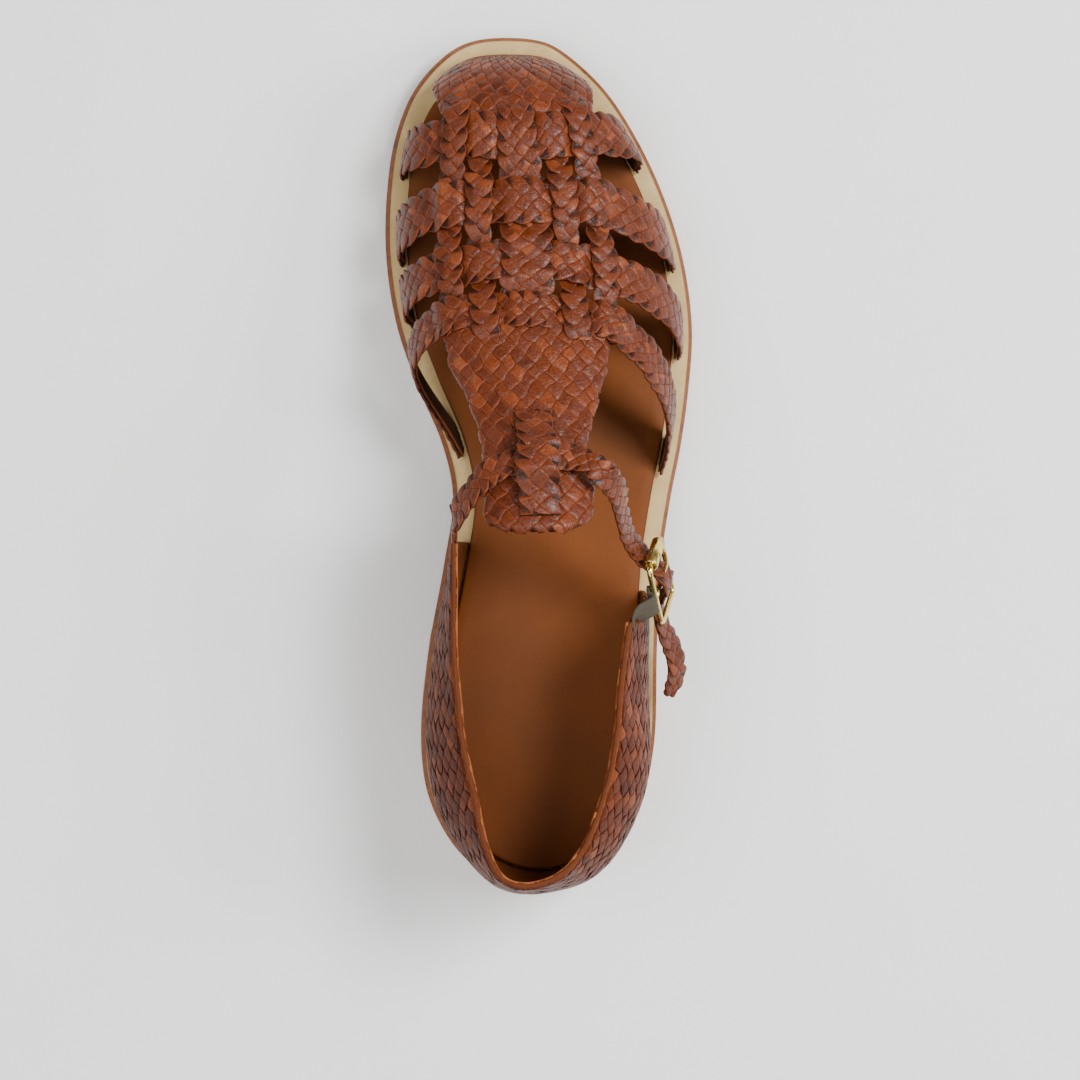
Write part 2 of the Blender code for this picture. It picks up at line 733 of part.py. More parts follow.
def heel_quarter(parts, seat):
    """The woven quarter round the heel, with its front edges and its collar."""

    def place(share, height):
        end = 1.0 - QUARTER_SLANT * max(height, 0.0)
        round_share = share * end
        point, _ = quarter_point(round_share, height)
        ahead, _ = quarter_point(min(round_share + 0.01, 1.0), height)
        behind, _ = quarter_point(max(round_share - 0.01, 0.0), height)
        above, _ = quarter_point(round_share, min(height + 0.02, 1.0))
        under, _ = quarter_point(round_share, min(height + 0.02, 1.0) - 0.04)
        normal = np.cross(ahead - behind, above - under)
        return point, normal / np.linalg.norm(normal)

    rise = COLLAR_HEIGHT - feather_height(0.0)
    low = -0.05

    def lifted(share, height_share):
        return place(share, low + (1.0 - low) * height_share)

    rows = count(QUARTER_LENGTH, CELL * 1.25)
    mesh = woven_wall("heel_quarter", rows, count(rise, CELL * 1.25), lifted)
    body = new_object("heel_quarter", mesh, parts, (0.24, 0.06, 0.03), 0.4)
    join(body, "DIFFERENCE", seat, "seat on the midsole")
    return body


def buckle_axes():
    """Centre, strap direction, bar direction and outward direction of the buckle."""
    wall, _ = quarter_point(1.0 - QUARTER_SLANT / 2, BUCKLE_HEIGHT)
    outward = np.array([math.cos(BUCKLE_LEAN), 0.0, math.sin(BUCKLE_LEAN)])
    down = np.array([math.sin(BUCKLE_LEAN), 0.0, -math.cos(BUCKLE_LEAN)])
    back = np.array([0.0, -1.0, 0.0])
    along = math.cos(STRAP_FALL) * back + math.sin(STRAP_FALL) * down
    bar = np.cross(along, outward)
    centre = wall + outward * (WALL + RELIEF + BUCKLE_OUT) - back * BUCKLE_FORWARD
    return centre, along, bar, outward


def in_buckle(along_distance, bar_distance, out_distance):
    centre, along, bar, outward = buckle_axes()
    return centre + along * along_distance + bar * bar_distance + outward * out_distance


def strap_route():
    """Centre points and outward directions of the ankle strap, from its root to its free end."""
    clear = WALL + RELIEF + STRAP_CLEAR
    root, outward = quarter_point(0.0, STRAP_ROOT_HEIGHT)
    root = root + outward * WALL / 2 + np.array([0.0, 2 * GAP, 0.0])
    rows = [(root, outward), (root + np.array([0.0, STRAP_WIDTH / 2, 0.0]), outward)]

    def in_open(station, across, height, lean):
        point = np.array([across * BALL_WIDTH, station * LENGTH, height * COLLAR_HEIGHT])
        turn = math.radians(lean)
        rows.append((point, np.array([math.sin(turn), 0.0, math.cos(turn)])))

    for row in STRAP_INSIDE:
        in_open(*row)
    for station, girth in STRAP_ON_TONGUE:
        point, outward = last_point(station * LENGTH, girth), last_normal(station * LENGTH, girth)
        rows.append((point + outward * (PANEL_LEVEL + clear + WALL / 2), outward))
    for row in STRAP_OUTSIDE:
        in_open(*row)
    _, _, _, out_of_buckle = buckle_axes()
    half = BUCKLE_LENGTH / 2
    under_roller = ROLLER_DIAMETER / 2 + 3 * GAP + RELIEF + WALL / 2
    over_bar = WIRE / 2 + GAP + WALL / 2
    under_bar = over_bar + RELIEF
    rows.append((in_buckle(-half, 0.0, -under_roller), out_of_buckle))
    rows.append((in_buckle(0.0, 0.0, over_bar), out_of_buckle))
    rows.append((in_buckle(half, 0.0, -under_bar), out_of_buckle))
    for round_share, height, out in STRAP_TAIL:
        point, outward = quarter_point(round_share, height)
        face = outward * math.cos(TAIL_LEAN) + np.array([0.0, 0.0, math.sin(TAIL_LEAN)])
        rows.append((point + outward * (clear + out + WALL / 2), face))
    return rows


def band_along(name, rows, width, thick, columns, cell, relief):
    """A flat band whose middle follows the rows of points and outward directions."""
    steps = 10
    points = smooth_curve([row[0] for row in rows], steps)
    row_of_point = np.arange(len(points)) / steps
    turns = [np.interp(row_of_point, range(len(rows)), [row[1][k] for row in rows]) for k in range(3)]
    outwards = np.stack(turns, axis=1)
    reach = lengths_along(points)

    def at(table, share):
        return np.array([np.interp(share * reach[-1], reach, table[:, k]) for k in range(3)])

    def place(share, across_share):
        along = at(points, min(share + 0.006, 1.0)) - at(points, max(share - 0.006, 0.0))
        along /= np.linalg.norm(along)
        outward = at(outwards, share)
        across = np.cross(outward, along)
        across /= np.linalg.norm(across)
        outward = np.cross(along, across)
        middle = at(points, share) + across * (2 * across_share - 1) * width / 2
        return middle - outward * thick / 2, outward

    return woven_wall(name, count(float(reach[-1]), cell), columns, place, thick, relief)


def ankle_strap(parts, helpers):
    mesh = band_along("ankle_strap", strap_route(), STRAP_WIDTH, WALL, 2, CELL * 0.9, RELIEF)
    body = new_object("ankle_strap", mesh, parts, (0.26, 0.07, 0.03), 0.4)
    slot = wire_mesh("prong_slot", prong_points(), WIRE + 2 * GAP)
    join(body, "DIFFERENCE", helper_object("prong_slot", slot, helpers), "slot for the prong")
    return body


def prong_points():
    """From the middle bar, up through the strap, to rest on the roller."""
    half = BUCKLE_LENGTH / 2
    above_roller = ROLLER_DIAMETER / 2 + GAP + WIRE / 2
    return [
        in_buckle(-WIRE - GAP, 0.0, 0.0),
        in_buckle(-half + ROLLER_DIAMETER * 0.7, 0.0, above_roller),
        in_buckle(-half - ROLLER_DIAMETER * 0.4, 0.0, above_roller),
    ]


def buckle_frame(parts, helpers):
    """A rounded rectangle of brass wire with a bar across its middle."""
    half, side = BUCKLE_LENGTH / 2, (BUCKLE_WIDTH - WIRE) / 2
    corner = BEND * WIRE
    outline = []
    for quarter in range(4):
        sign_along = 1 if quarter in (0, 3) else -1
        sign_bar = 1 if quarter in (0, 1) else -1
        for step in range(5):
            turn = math.radians(90 * quarter + 22.5 * step)
            along = sign_along * (half - corner) + corner * math.cos(turn)
            across = sign_bar * (side - corner) + corner * math.sin(turn)
            outline.append(in_buckle(along, across, 0.0))
    mesh = wire_mesh("buckle_frame", outline, WIRE, closed=True)
    body = new_object("buckle_frame", mesh, parts, (0.65, 0.45, 0.12), 0.25, 1.0)
    ends = [in_buckle(0.0, -side, 0.0), in_buckle(0.0, side, 0.0)]
    bar = wire_mesh("middle_bar", ends, WIRE * 0.94)
    join(body, "UNION", helper_object("middle_bar", bar, helpers), "middle bar")
    return body


def buckle_roller(parts, helpers):
    half = BUCKLE_LENGTH / 2
    ends = [in_buckle(-half, side * ROLLER_LENGTH / 2, 0.0) for side in (-1, 1)]
    tube = wire_mesh("buckle_roller", ends, ROLLER_DIAMETER, rings=4)
    body = new_object("buckle_roller", tube, parts, (0.65, 0.45, 0.12), 0.25, 1.0)
    reach = ROLLER_LENGTH / 2 + WIRE
    ends = [in_buckle(-half, side * reach, 0.0) for side in (-1, 1)]
    hole = wire_mesh("roller_hole", ends, WIRE + 2 * GAP, rings=2)
    join(body, "DIFFERENCE", helper_object("roller_hole", hole, helpers), "bore")
    return body


def buckle_prong(parts):
    mesh = wire_mesh("buckle_prong", prong_points(), WIRE)
    return new_object("buckle_prong", mesh, parts, (0.65, 0.45, 0.12), 0.25, 1.0)


def elastic_loop(parts):
    """A woven elastic from the quarter's outer front corner to the upper side of the buckle."""
    clear = WALL + RELIEF + 3 * GAP + ELASTIC_THICK / 2
    side = (BUCKLE_WIDTH - WIRE) / 2
    wrap = WIRE / 2 + GAP + ELASTIC_THICK / 2
    _, _, _, out_of_buckle = buckle_axes()
    rows = []
    for round_share, height in ((0.964, 0.93), (0.969, 0.86)):
        point, outward = quarter_point(round_share, height)
        rows.append((point + outward * clear, outward))
    for from_wire in (2.5 * WIRE, 0.0):
        rows.append((in_buckle(ELASTIC_SEAT, side + from_wire, wrap), out_of_buckle))
    mesh = band_along("elastic_loop", rows, ELASTIC_WIDTH, ELASTIC_THICK, 2, CELL, 0.0)
    return new_object("elastic_loop", mesh, parts, (0.15, 0.13, 0.11), 0.8)


def centre_over_origin(collections):
    """Hangs every piece on a root at minus the middle of the sandal's plan."""
    graph = bpy.context.evaluated_depsgraph_get()
    corners = []
    for obj in collections[0].objects:
        box = obj.evaluated_get(graph).bound_box
        corners += [tuple(corner) for corner in box]
    corners = np.array(corners)
    middle = (corners.min(axis=0) + corners.max(axis=0)) / 2
    root = bpy.data.objects.new("root", None)
    collections[0].objects.link(root)
    for collection in collections:
        for obj in collection.objects:
            if obj is not root:
                obj.parent = root
    root.location = (-middle[0], -middle[1], 0.0)


def clear_scene():
    for obj in list(bpy.data.objects):
        bpy.data.objects.remove(obj)


def main():
    clear_scene()
    parts = bpy.data.collections.new("woven_fisherman_sandal")
    helpers = bpy.data.collections.new("helpers")
    pieces = bpy.data.collections.new("vamp_pieces")
    for collection in (parts, helpers, pieces):
        bpy.context.scene.collection.children.link(collection)
    sole(parts, helpers)
    seat = side_profile(
        "seat", lambda y: feather_height(y) - 2 * SEAT_DEPTH, feather_height, helpers
    )
    vamp(parts, helpers, pieces, seat)
    heel_quarter(parts, seat)
    ankle_strap(parts, helpers)
    buckle_frame(parts, helpers)
    buckle_roller(parts, helpers)
    buckle_prong(parts)
    elastic_loop(parts)
    centre_over_origin((parts, helpers, pieces))


main()
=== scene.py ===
"""The woven fisherman sandal, dressed: plaited calf strips, linings, leather soles, brass and elastic."""

import math

import bpy
import numpy as np
from mathutils import Matrix, Vector


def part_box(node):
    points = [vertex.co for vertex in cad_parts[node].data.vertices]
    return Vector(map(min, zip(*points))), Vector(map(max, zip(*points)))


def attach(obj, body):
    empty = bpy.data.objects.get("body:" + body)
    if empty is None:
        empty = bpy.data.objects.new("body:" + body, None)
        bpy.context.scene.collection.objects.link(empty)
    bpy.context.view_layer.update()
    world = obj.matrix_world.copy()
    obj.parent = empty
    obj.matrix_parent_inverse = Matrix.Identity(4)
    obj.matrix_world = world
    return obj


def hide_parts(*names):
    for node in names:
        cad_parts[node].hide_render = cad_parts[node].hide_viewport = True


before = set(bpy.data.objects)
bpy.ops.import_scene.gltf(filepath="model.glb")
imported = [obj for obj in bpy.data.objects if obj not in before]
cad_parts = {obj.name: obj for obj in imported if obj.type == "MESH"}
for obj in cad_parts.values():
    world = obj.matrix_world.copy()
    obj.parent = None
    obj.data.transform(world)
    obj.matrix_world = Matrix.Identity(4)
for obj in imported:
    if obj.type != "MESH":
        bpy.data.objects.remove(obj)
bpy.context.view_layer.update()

# Foot and sole sizes in metres, as the solids have them
LENGTH = 0.260
BALL_WIDTH = 0.094
INSTEP_HEIGHT = 0.063
COLLAR_HEIGHT = 0.077
OUTSOLE_THICK = 0.005
MIDSOLE_THICK = 0.004
INSOLE_THICK = 0.002
HEEL_RISE = 0.0105
TOE_SPRING = 0.007
SOLE_STEPS = 14
SLAB_COLUMNS = 18
RIM_WIDTH = 0.0014
BAND_WIDTH = 0.0065
TOE_BACK = 0.0024
TOE_BACK_FROM = 0.80
WALL = 0.0022
RELIEF = 0.0005
PANEL_LEVEL = 0.0009
GAP = 0.0003
STRAP_WIDTH = 0.0088
STRAP_CLEAR = 0.0008
BRIDGE_WIDTH = 0.0105
BUCKLE_LENGTH = 0.0212
BUCKLE_WIDTH = 0.0170
WIRE = 0.0017
BEND = 1.2
ROLLER_DIAMETER = 0.004
ROLLER_LENGTH = 0.0108
BAR_SHARE = 0.94
PRONG_SHARE = 0.68
BUCKLE_FORWARD = 0.0078
BUCKLE_OUT = 0.0040
BUCKLE_HEIGHT = 0.60
STRAP_FALL = math.radians(40)
BUCKLE_LEAN = math.radians(20)
ELASTIC_THICK = 0.0010
ELASTIC_WIDTH = 0.0090
ELASTIC_SEAT = -0.0010
# Its root lies between the weave and the lining: shares of the wall, then places on the quarter
ELASTIC_DEPTH = 0.45
ELASTIC_ROOT = ((0.952, 0.90), (0.968, 0.89))
ELASTIC_NARROWS = 0.30

# Plan of the sole: station as a share of LENGTH, inner and outer half widths as shares of BALL_WIDTH
PLAN = (
    (0.012, 0.150, 0.138),
    (0.045, 0.268, 0.245),
    (0.105, 0.360, 0.332),
    (0.170, 0.387, 0.371),
    (0.280, 0.362, 0.381),
    (0.380, 0.312, 0.395),
    (0.460, 0.282, 0.429),
    (0.520, 0.314, 0.463),
    (0.590, 0.395, 0.491),
    (0.660, 0.463, 0.502),
    (0.740, 0.499, 0.473),
    (0.815, 0.498, 0.409),
    (0.885, 0.469, 0.316),
    (0.940, 0.406, 0.213),
    (0.980, 0.304, 0.091),
    (0.995, 0.225, 0.016),
)
HEEL_POINT = -0.008
TOE_POINT = -0.108

# Footbed: station, rise at the heel and rise at the toe, as shares of HEEL_RISE and TOE_SPRING
BED = (
    (0.00, 1.00, 0.00),
    (0.18, 0.97, 0.00),
    (0.30, 0.80, 0.00),
    (0.42, 0.50, 0.00),
    (0.52, 0.22, 0.00),
    (0.60, 0.00, 0.00),
    (0.78, 0.00, 0.00),
    (0.88, 0.00, 0.22),
    (0.94, 0.00, 0.50),
    (1.00, 0.00, 1.00),
)

# The last: station, crown height, crest, fullness, inner and outer swell
LAST = (
    (0.30, 1.160, -0.020, 1.90, 0.110, 0.030),
    (0.40, 1.100, -0.032, 1.90, 0.115, 0.020),
    (0.44, 1.050, -0.038, 1.95, 0.115, 0.020),
    (0.48, 1.000, -0.043, 2.00, 0.110, 0.020),
    (0.54, 0.905, -0.052, 2.10, 0.115, 0.025),
    (0.60, 0.810, -0.064, 2.15, 0.108, 0.030),
    (0.66, 0.703, -0.075, 2.20, 0.068, 0.035),
    (0.72, 0.611, -0.085, 2.30, 0.045, 0.035),
    (0.80, 0.540, -0.091, 2.40, 0.040, 0.040),
    (0.86, 0.468, -0.095, 2.40, 0.040, 0.060),
    (1.00, 0.400, -0.100, 2.40, 0.040, 0.060),
)
TOE_ROUND = 0.87

# Cross straps: station of the centre line at each girth, then widths at the inner foot, crown and outer foot
GIRTHS = (-1.0, -0.75, -0.47, -0.30, 0.0, 0.30, 0.46, 0.62, 0.80, 1.0)
CROSS_STRAPS = {
    "toe_strap": (0.856, 0.860, 0.868, 0.874, 0.871, 0.875, 0.878, 0.876, 0.870, 0.862),
    "ball_strap": (0.757, 0.766, 0.788, 0.794, 0.797, 0.797, 0.791, 0.774, 0.757, 0.750),
    "waist_strap": (0.684, 0.692, 0.712, 0.720, 0.730, 0.721, 0.708, 0.688, 0.660, 0.645),
    "instep_strap": (0.518, 0.596, 0.648, 0.666, 0.670, 0.661, 0.632, 0.588, 0.545, 0.505),
}
STRAP_WIDTHS = {
    "toe_strap": (0.150, 0.150, 0.150),
    "ball_strap": (0.150, 0.150, 0.165),
    "waist_strap": (0.138, 0.138, 0.150),
    "instep_strap": (0.122, 0.124, 0.125),
}

# Lengthwise braids: girth of the centre line at each station, then widths at the front and the rear
BRAID_STATIONS = (0.925, 0.90, 0.86, 0.80, 0.74, 0.69, 0.635)
BRAIDS = {
    "inner_braid": ((-0.375, -0.350, -0.331, -0.330, -0.328, -0.310, -0.300), 0.081, 0.081),
    "inner_middle_braid": ((-0.195, -0.192, -0.188, -0.186, -0.180, -0.165, -0.148), 0.083, 0.083),
    "middle_braid": ((0.005, 0.009, 0.019, 0.035, 0.035, 0.025, 0.020), 0.108, 0.178),
    "outer_middle_braid": ((0.222, 0.222, 0.221, 0.219, 0.213, 0.212, 0.200), 0.083, 0.083),
    "outer_braid": ((0.375, 0.366, 0.355, 0.352, 0.359, 0.342, 0.325), 0.080, 0.080),
}
BRAID_STRANDS = {
    "inner_braid": 3,
    "inner_middle_braid": 3,
    "middle_braid": 5,
    "outer_middle_braid": 3,
    "outer_braid": 3,
}

# Edges of the toe panel and the tongue, as girths
TOE_PANEL = (
    (0.00, -0.45, 0.47),
    (0.15, -0.52, 0.54),
    (0.35, -0.74, 0.70),
    (0.55, -1.02, 1.02),
    (1.00, -1.02, 1.02),
)
TOE_PANEL_REAR = 0.896
TONGUE = (
    (0.422, -0.120, 0.110),
    (0.430, -0.180, 0.165),
    (0.445, -0.193, 0.205),
    (0.480, -0.193, 0.211),
    (0.510, -0.195, 0.192),
    (0.550, -0.222, 0.235),
    (0.585, -0.270, 0.280),
    (0.620, -0.330, 0.320),
    (0.668, -0.340, 0.340),
)
BRIDGE_STATIONS = (0.553, 0.525, 0.510, 0.495, 0.480, 0.465, 0.437)
BRIDGE_LIFTS = (0.0, 0.35, 1.0, 1.0, 1.0, 0.35, 0.0)
BRIDGE_GIRTH = 0.010

# Heel quarter: round, lean, bulge and top
QUARTER = (
    (0.000, -0.048, 0.020, 0.960),
    (0.130, 0.008, 0.036, 0.910),
    (0.260, 0.067, 0.044, 0.885),
    (0.345, 0.092, 0.042, 0.910),
    (0.430, 0.050, 0.036, 0.980),
    (0.485, 0.008, 0.035, 1.000),
    (0.545, 0.042, 0.032, 0.980),
    (0.610, 0.085, 0.047, 0.915),
    (0.720, 0.112, 0.049, 0.875),
    (0.850, 0.100, 0.022, 0.870),
    (1.000, 0.065, 0.010, 0.880),
)
QUARTER_INNER_FRONT = 0.410
QUARTER_OUTER_FRONT = 0.355
QUARTER_SLANT = 0.038

# The quarter's lining and the raw edge along its collar: depth, rise over the weave and two heights
LINING_THICK = 0.0007
EDGE_DEPTH = 0.0028
EDGE_PROUD = 0.0006
EDGE_HEIGHTS = (0.0005, 0.0019)

# Ankle strap, as the solids have it
STRAP_ON_TONGUE = ((0.464, -0.205), (0.485, -0.125), (0.495, 0.010), (0.497, 0.130))
STRAP_INSIDE = ((0.440, -0.283, 0.925, -60),)
STRAP_OUTSIDE = (
    (0.490, 0.166, 1.020, 25),
    (0.469, 0.213, 0.945, 45),
    (0.441, 0.235, 0.850, 60),
    (0.415, 0.260, 0.766, 68),
)
STRAP_TAIL = ((0.905, 0.40, 0.0060), (0.880, 0.36, 0.0058), (0.855, 0.33, 0.0034))
TAIL_LEAN = math.radians(42)
SEAM_LAP = 0.0025
STRAP_ROOT_HEIGHT = 0.88

# The plait: thin strips that bow a little over and under each other
STRIP_THICK = 0.00092
STRIP_BOW = 0.00024
STRIP_MIDDLE = 0.00126
STRIP_CROWN = 0.00003
STRIP_FILL = 0.965
STRIP_ROLL = 0.15
PANEL_CELL = 0.0036
QUARTER_CELL = 0.0044
# How sharply a strip steps from over to under
STRIP_STEP = 2.8
# The hand's unevenness, in the braids and in the woven panels
BRAID_DRIFT = 0.00022
PANEL_DRIFT = 0.00030
# A braid's strips turn back at its edge over this share of a crossing
EDGE_TURN = 0.46
OVER_HEIGHT = 0.0022
OVER_LEVEL = 0.26
TURN_RADIUS = 0.0012
TURN_MARGIN = 0.0016

# The flesh side under a plait: its two heights, and how far it stays inside the plait's edge
FLESH_UNDER = 0.00025
FLESH_OVER = 0.00075
FLESH_INSET = 0.0011

# A strip's section: share of its width, share of its thickness, cut edge, light that reaches it
STRIP_SECTION = (
    (-0.50, -0.34, 0.2, 0.10),
    (-0.505, 0.10, 0.5, 0.35),
    (-0.478, 0.41, 1.0, 0.90),
    (-0.415, 0.490, 0.0, 1.0),
    (-0.15, 0.53, 0.0, 1.0),
    (0.15, 0.53, 0.0, 1.0),
    (0.415, 0.490, 0.0, 1.0),
    (0.478, 0.41, 1.0, 0.90),
    (0.505, 0.10, 0.5, 0.35),
    (0.50, -0.34, 0.2, 0.10),
    (0.22, -0.50, 0.0, 0.05),
    (-0.22, -0.50, 0.0, 0.05),
)

rng = np.random.default_rng(7)


def smooth_share(share):
    """A share from 0 to 1 that starts and ends gently."""
    share = np.clip(share, 0.0, 1.0)
    return share * share * (3 - 2 * share)


def smooth_table(table, index, keys):
    """A column of a table at keys of its first column, as a smooth curve that is level at each peak."""
    rows = np.array(table, float)
    x, v = rows[:, 0], rows[:, index]
    steps = np.diff(v) / np.diff(x)
    slopes = np.zeros(len(x))
    slopes[0], slopes[-1] = steps[0], steps[-1]
    for i in range(1, len(x) - 1):
        if steps[i - 1] * steps[i] > 0:
            slopes[i] = 2 * steps[i - 1] * steps[i] / (steps[i - 1] + steps[i])
    k = np.clip(np.asarray(keys, float), x[0], x[-1])
    i = np.clip(np.searchsorted(x, k) - 1, 0, len(x) - 2)
    span = x[i + 1] - x[i]
    t = (k - x[i]) / span
    start = v[i] * (1 + 2 * t) * (1 - t) ** 2 + slopes[i] * span * t * (1 - t) ** 2
    return start + v[i + 1] * t * t * (3 - 2 * t) + slopes[i + 1] * span * t * t * (t - 1)


def smooth_curve(points, steps, closed=False):
    """A centripetal Catmull-Rom curve through the points."""
    points = np.array(points, float)
    if closed:
        points = np.vstack([points[-1], points, points[:2]])
    else:
        points = np.vstack([2 * points[0] - points[1], points, 2 * points[-1] - points[-2]])
    knots = np.concatenate([[0.0], np.cumsum(np.sqrt(np.linalg.norm(np.diff(points, axis=0), axis=1)))])

    def mix(first, second, low, high, t):
        return ((high - t) * first + (t - low) * second) / (high - low)

    curve = []
    for i in range(1, len(points) - 2):
        k0, k1, k2, k3 = knots[i - 1 : i + 3]
        before, start, end, after = points[i - 1 : i + 3]
        for t in np.linspace(k1, k2, steps, endpoint=False):
            a1 = mix(before, start, k0, k1, t)
            a2 = mix(start, end, k1, k2, t)
            a3 = mix(end, after, k2, k3, t)
            curve.append(mix(mix(a1, a2, k0, k2, t), mix(a2, a3, k1, k3, t), k1, k2, t))
    if not closed:
        curve.append(points[-2])
    return np.array(curve)


def lengths_along(points):
    return np.concatenate([[0.0], np.cumsum(np.linalg.norm(np.diff(points, axis=0), axis=1))])


def unit(vectors):
    return vectors / np.maximum(np.linalg.norm(vectors, axis=-1, keepdims=True), 1e-12)


def sole_outline(inset, steps=6):
    """The sole's plan, anticlockwise from the heel's back, moved in by the inset."""
    outer = [(side * BALL_WIDTH, station * LENGTH) for station, _, side in PLAN]
    inner = [(-side * BALL_WIDTH, station * LENGTH) for station, side, _ in reversed(PLAN)]
    heel, toe = (HEEL_POINT * BALL_WIDTH, 0.0), (TOE_POINT * BALL_WIDTH, LENGTH)
    curve = smooth_curve([heel] + outer + [toe] + inner, steps, closed=True)
    along = unit(np.roll(curve, -1, axis=0) - np.roll(curve, 1, axis=0))
    return curve + inset * np.stack([-along[:, 1], along[:, 0]], axis=1)


def set_back(outline):
    """The outline with its toe moved back, where the upper leaves a wider band of midsole."""
    share = (outline[:, 1] / LENGTH - TOE_BACK_FROM) / (1 - TOE_BACK_FROM)
    outline = outline.copy()
    outline[:, 1] -= TOE_BACK * smooth_share(share)
    return outline


def outsole_top(y):
    station = np.asarray(y) / LENGTH
    heel, spring = smooth_table(BED, 1, station), smooth_table(BED, 2, station)
    return OUTSOLE_THICK + HEEL_RISE * heel + TOE_SPRING * spring


def midsole_top(y):
    return outsole_top(y) + GAP + MIDSOLE_THICK


def feather_height(y):
    return midsole_top(y) + GAP


FEATHER = set_back(sole_outline(BAND_WIDTH - GAP, 16))
TOE_ROW = int(FEATHER[:, 1].argmax())
FEATHER_TOE = float(FEATHER[TOE_ROW, 1])
OUTER_FEATHER = FEATHER[: TOE_ROW + 1]
INNER_FEATHER = FEATHER[TOE_ROW:][::-1]
TOE_START = TOE_ROUND * LENGTH
TOE_REACH = FEATHER_TOE - TOE_START

# The solids stand centred over the origin, so the sandal made here moves by the same amount
SHIFT = np.array(
    [
        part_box("outsole")[0][0] - sole_outline(0.0)[:, 0].min(),
        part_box("outsole")[0][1] - sole_outline(0.0)[:, 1].min(),
        0.0,
    ]
)


def row_of(y):
    """Position along the last: y up to the toe's round, then the way round it."""
    y = np.asarray(y, float)
    bent = TOE_START + TOE_REACH * np.arcsin(np.clip((y - TOE_START) / TOE_REACH, 0.0, 1.0))
    return np.where(y <= TOE_START, y, bent)


def make_last(rows, girths):
    """Points and outward normals of the last on a grid of rows and girths."""
    quadrant = np.linspace(0.0, math.pi / 2, 97)
    turn = np.clip((rows - TOE_START) / TOE_REACH, 0.0, math.pi / 2)
    ys = np.where(rows <= TOE_START, rows, TOE_START + TOE_REACH * np.sin(turn))
    round_off = np.cos(turn)
    stations = ys / LENGTH
    values = [smooth_table(LAST, k, stations) for k in range(1, 6)]
    inner_x = np.interp(ys, INNER_FEATHER[:, 1], INNER_FEATHER[:, 0])
    outer_x = np.interp(ys, OUTER_FEATHER[:, 1], OUTER_FEATHER[:, 0])
    floor = feather_height(ys)
    points = np.zeros((len(rows), len(girths), 3))
    for i, y in enumerate(ys):
        crown, crest, fullness, inner_swell, outer_swell = [column[i] for column in values]
        height = crown * INSTEP_HEIGHT * round_off[i]
        crest = min(max(crest * BALL_WIDTH, inner_x[i]), outer_x[i])
        power = 2.0 / fullness
        for side, foot, swell in ((-1, inner_x[i], -inner_swell), (1, outer_x[i], outer_swell)):
            x = crest + (foot - crest) * np.sin(quadrant) ** power
            x = x + swell * BALL_WIDTH * round_off[i] * np.sin(2 * quadrant)
            z = floor[i] + height * np.cos(quadrant) ** power
            length = lengths_along(np.stack([x, z], axis=1))
            here = girths * side >= 0
            share = np.minimum(np.abs(girths[here]), 1.0) * length[-1]
            below = np.maximum(np.abs(girths[here]) - 1.0, 0.0) * length[-1]
            points[i, here, 0] = np.interp(share, length, x)
            points[i, here, 2] = np.interp(share, length, z) - below
        points[i, :, 1] = y
    with_row = np.gradient(points, rows, axis=0)
    with_girth = np.gradient(points, girths, axis=1)
    return points, unit(np.cross(with_girth, with_row))


LAST_ROWS = np.linspace(0.38 * LENGTH, TOE_START + TOE_REACH * math.radians(89), 300)
LAST_GIRTHS = np.linspace(-1.08, 1.08, 217)
LAST_POINTS, LAST_NORMALS = make_last(LAST_ROWS, LAST_GIRTHS)


def from_grid(grid, first, second, at_first, at_second):
    """Values of an evenly spaced grid between its points."""
    i = np.clip((at_first - first[0]) / (first[1] - first[0]), 0, len(first) - 1.001)
    j = np.clip((at_second - second[0]) / (second[1] - second[0]), 0, len(second) - 1.001)
    i0, j0 = i.astype(int), j.astype(int)
    fi, fj = (i - i0)[..., None], (j - j0)[..., None]
    low = grid[i0, j0] * (1 - fj) + grid[i0, j0 + 1] * fj
    high = grid[i0 + 1, j0] * (1 - fj) + grid[i0 + 1, j0 + 1] * fj
    return low * (1 - fi) + high * fi


def on_last(row, girth, height):
    row, girth = np.broadcast_arrays(np.asarray(row, float), np.asarray(girth, float))
    point = from_grid(LAST_POINTS, LAST_ROWS, LAST_GIRTHS, row, girth)
    normal = unit(from_grid(LAST_NORMALS, LAST_ROWS, LAST_GIRTHS, row, girth))
    return point + normal * np.asarray(height)[..., None], normal


def eased(position, knots, values, level=0.0):
    """Values at knots, with a smooth step from each to the next and a level share beside each knot."""
    order = np.argsort(knots)
    knots, values = np.array(knots)[order], np.array(values)[order]
    at = np.clip(np.searchsorted(knots, position) - 1, 0, len(knots) - 2)
    share = (position - knots[at]) / (knots[at + 1] - knots[at])
    ease = smooth_share((share - level) / (1 - 2 * level))
    return values[at] + (values[at + 1] - values[at]) * ease


def weave_level(position, crossings, first_over):
    """How high a strap lies where it passes over and under those it crosses."""
    turns = [1.0 if (i % 2 == 0) == first_over else 0.0 for i in range(len(crossings))]
    spots = [2 * crossings[0] - crossings[1], *crossings, 2 * crossings[-1] - crossings[-2]]
    return OVER_HEIGHT * eased(position, spots, [0.0, *turns, 0.0], OVER_LEVEL)


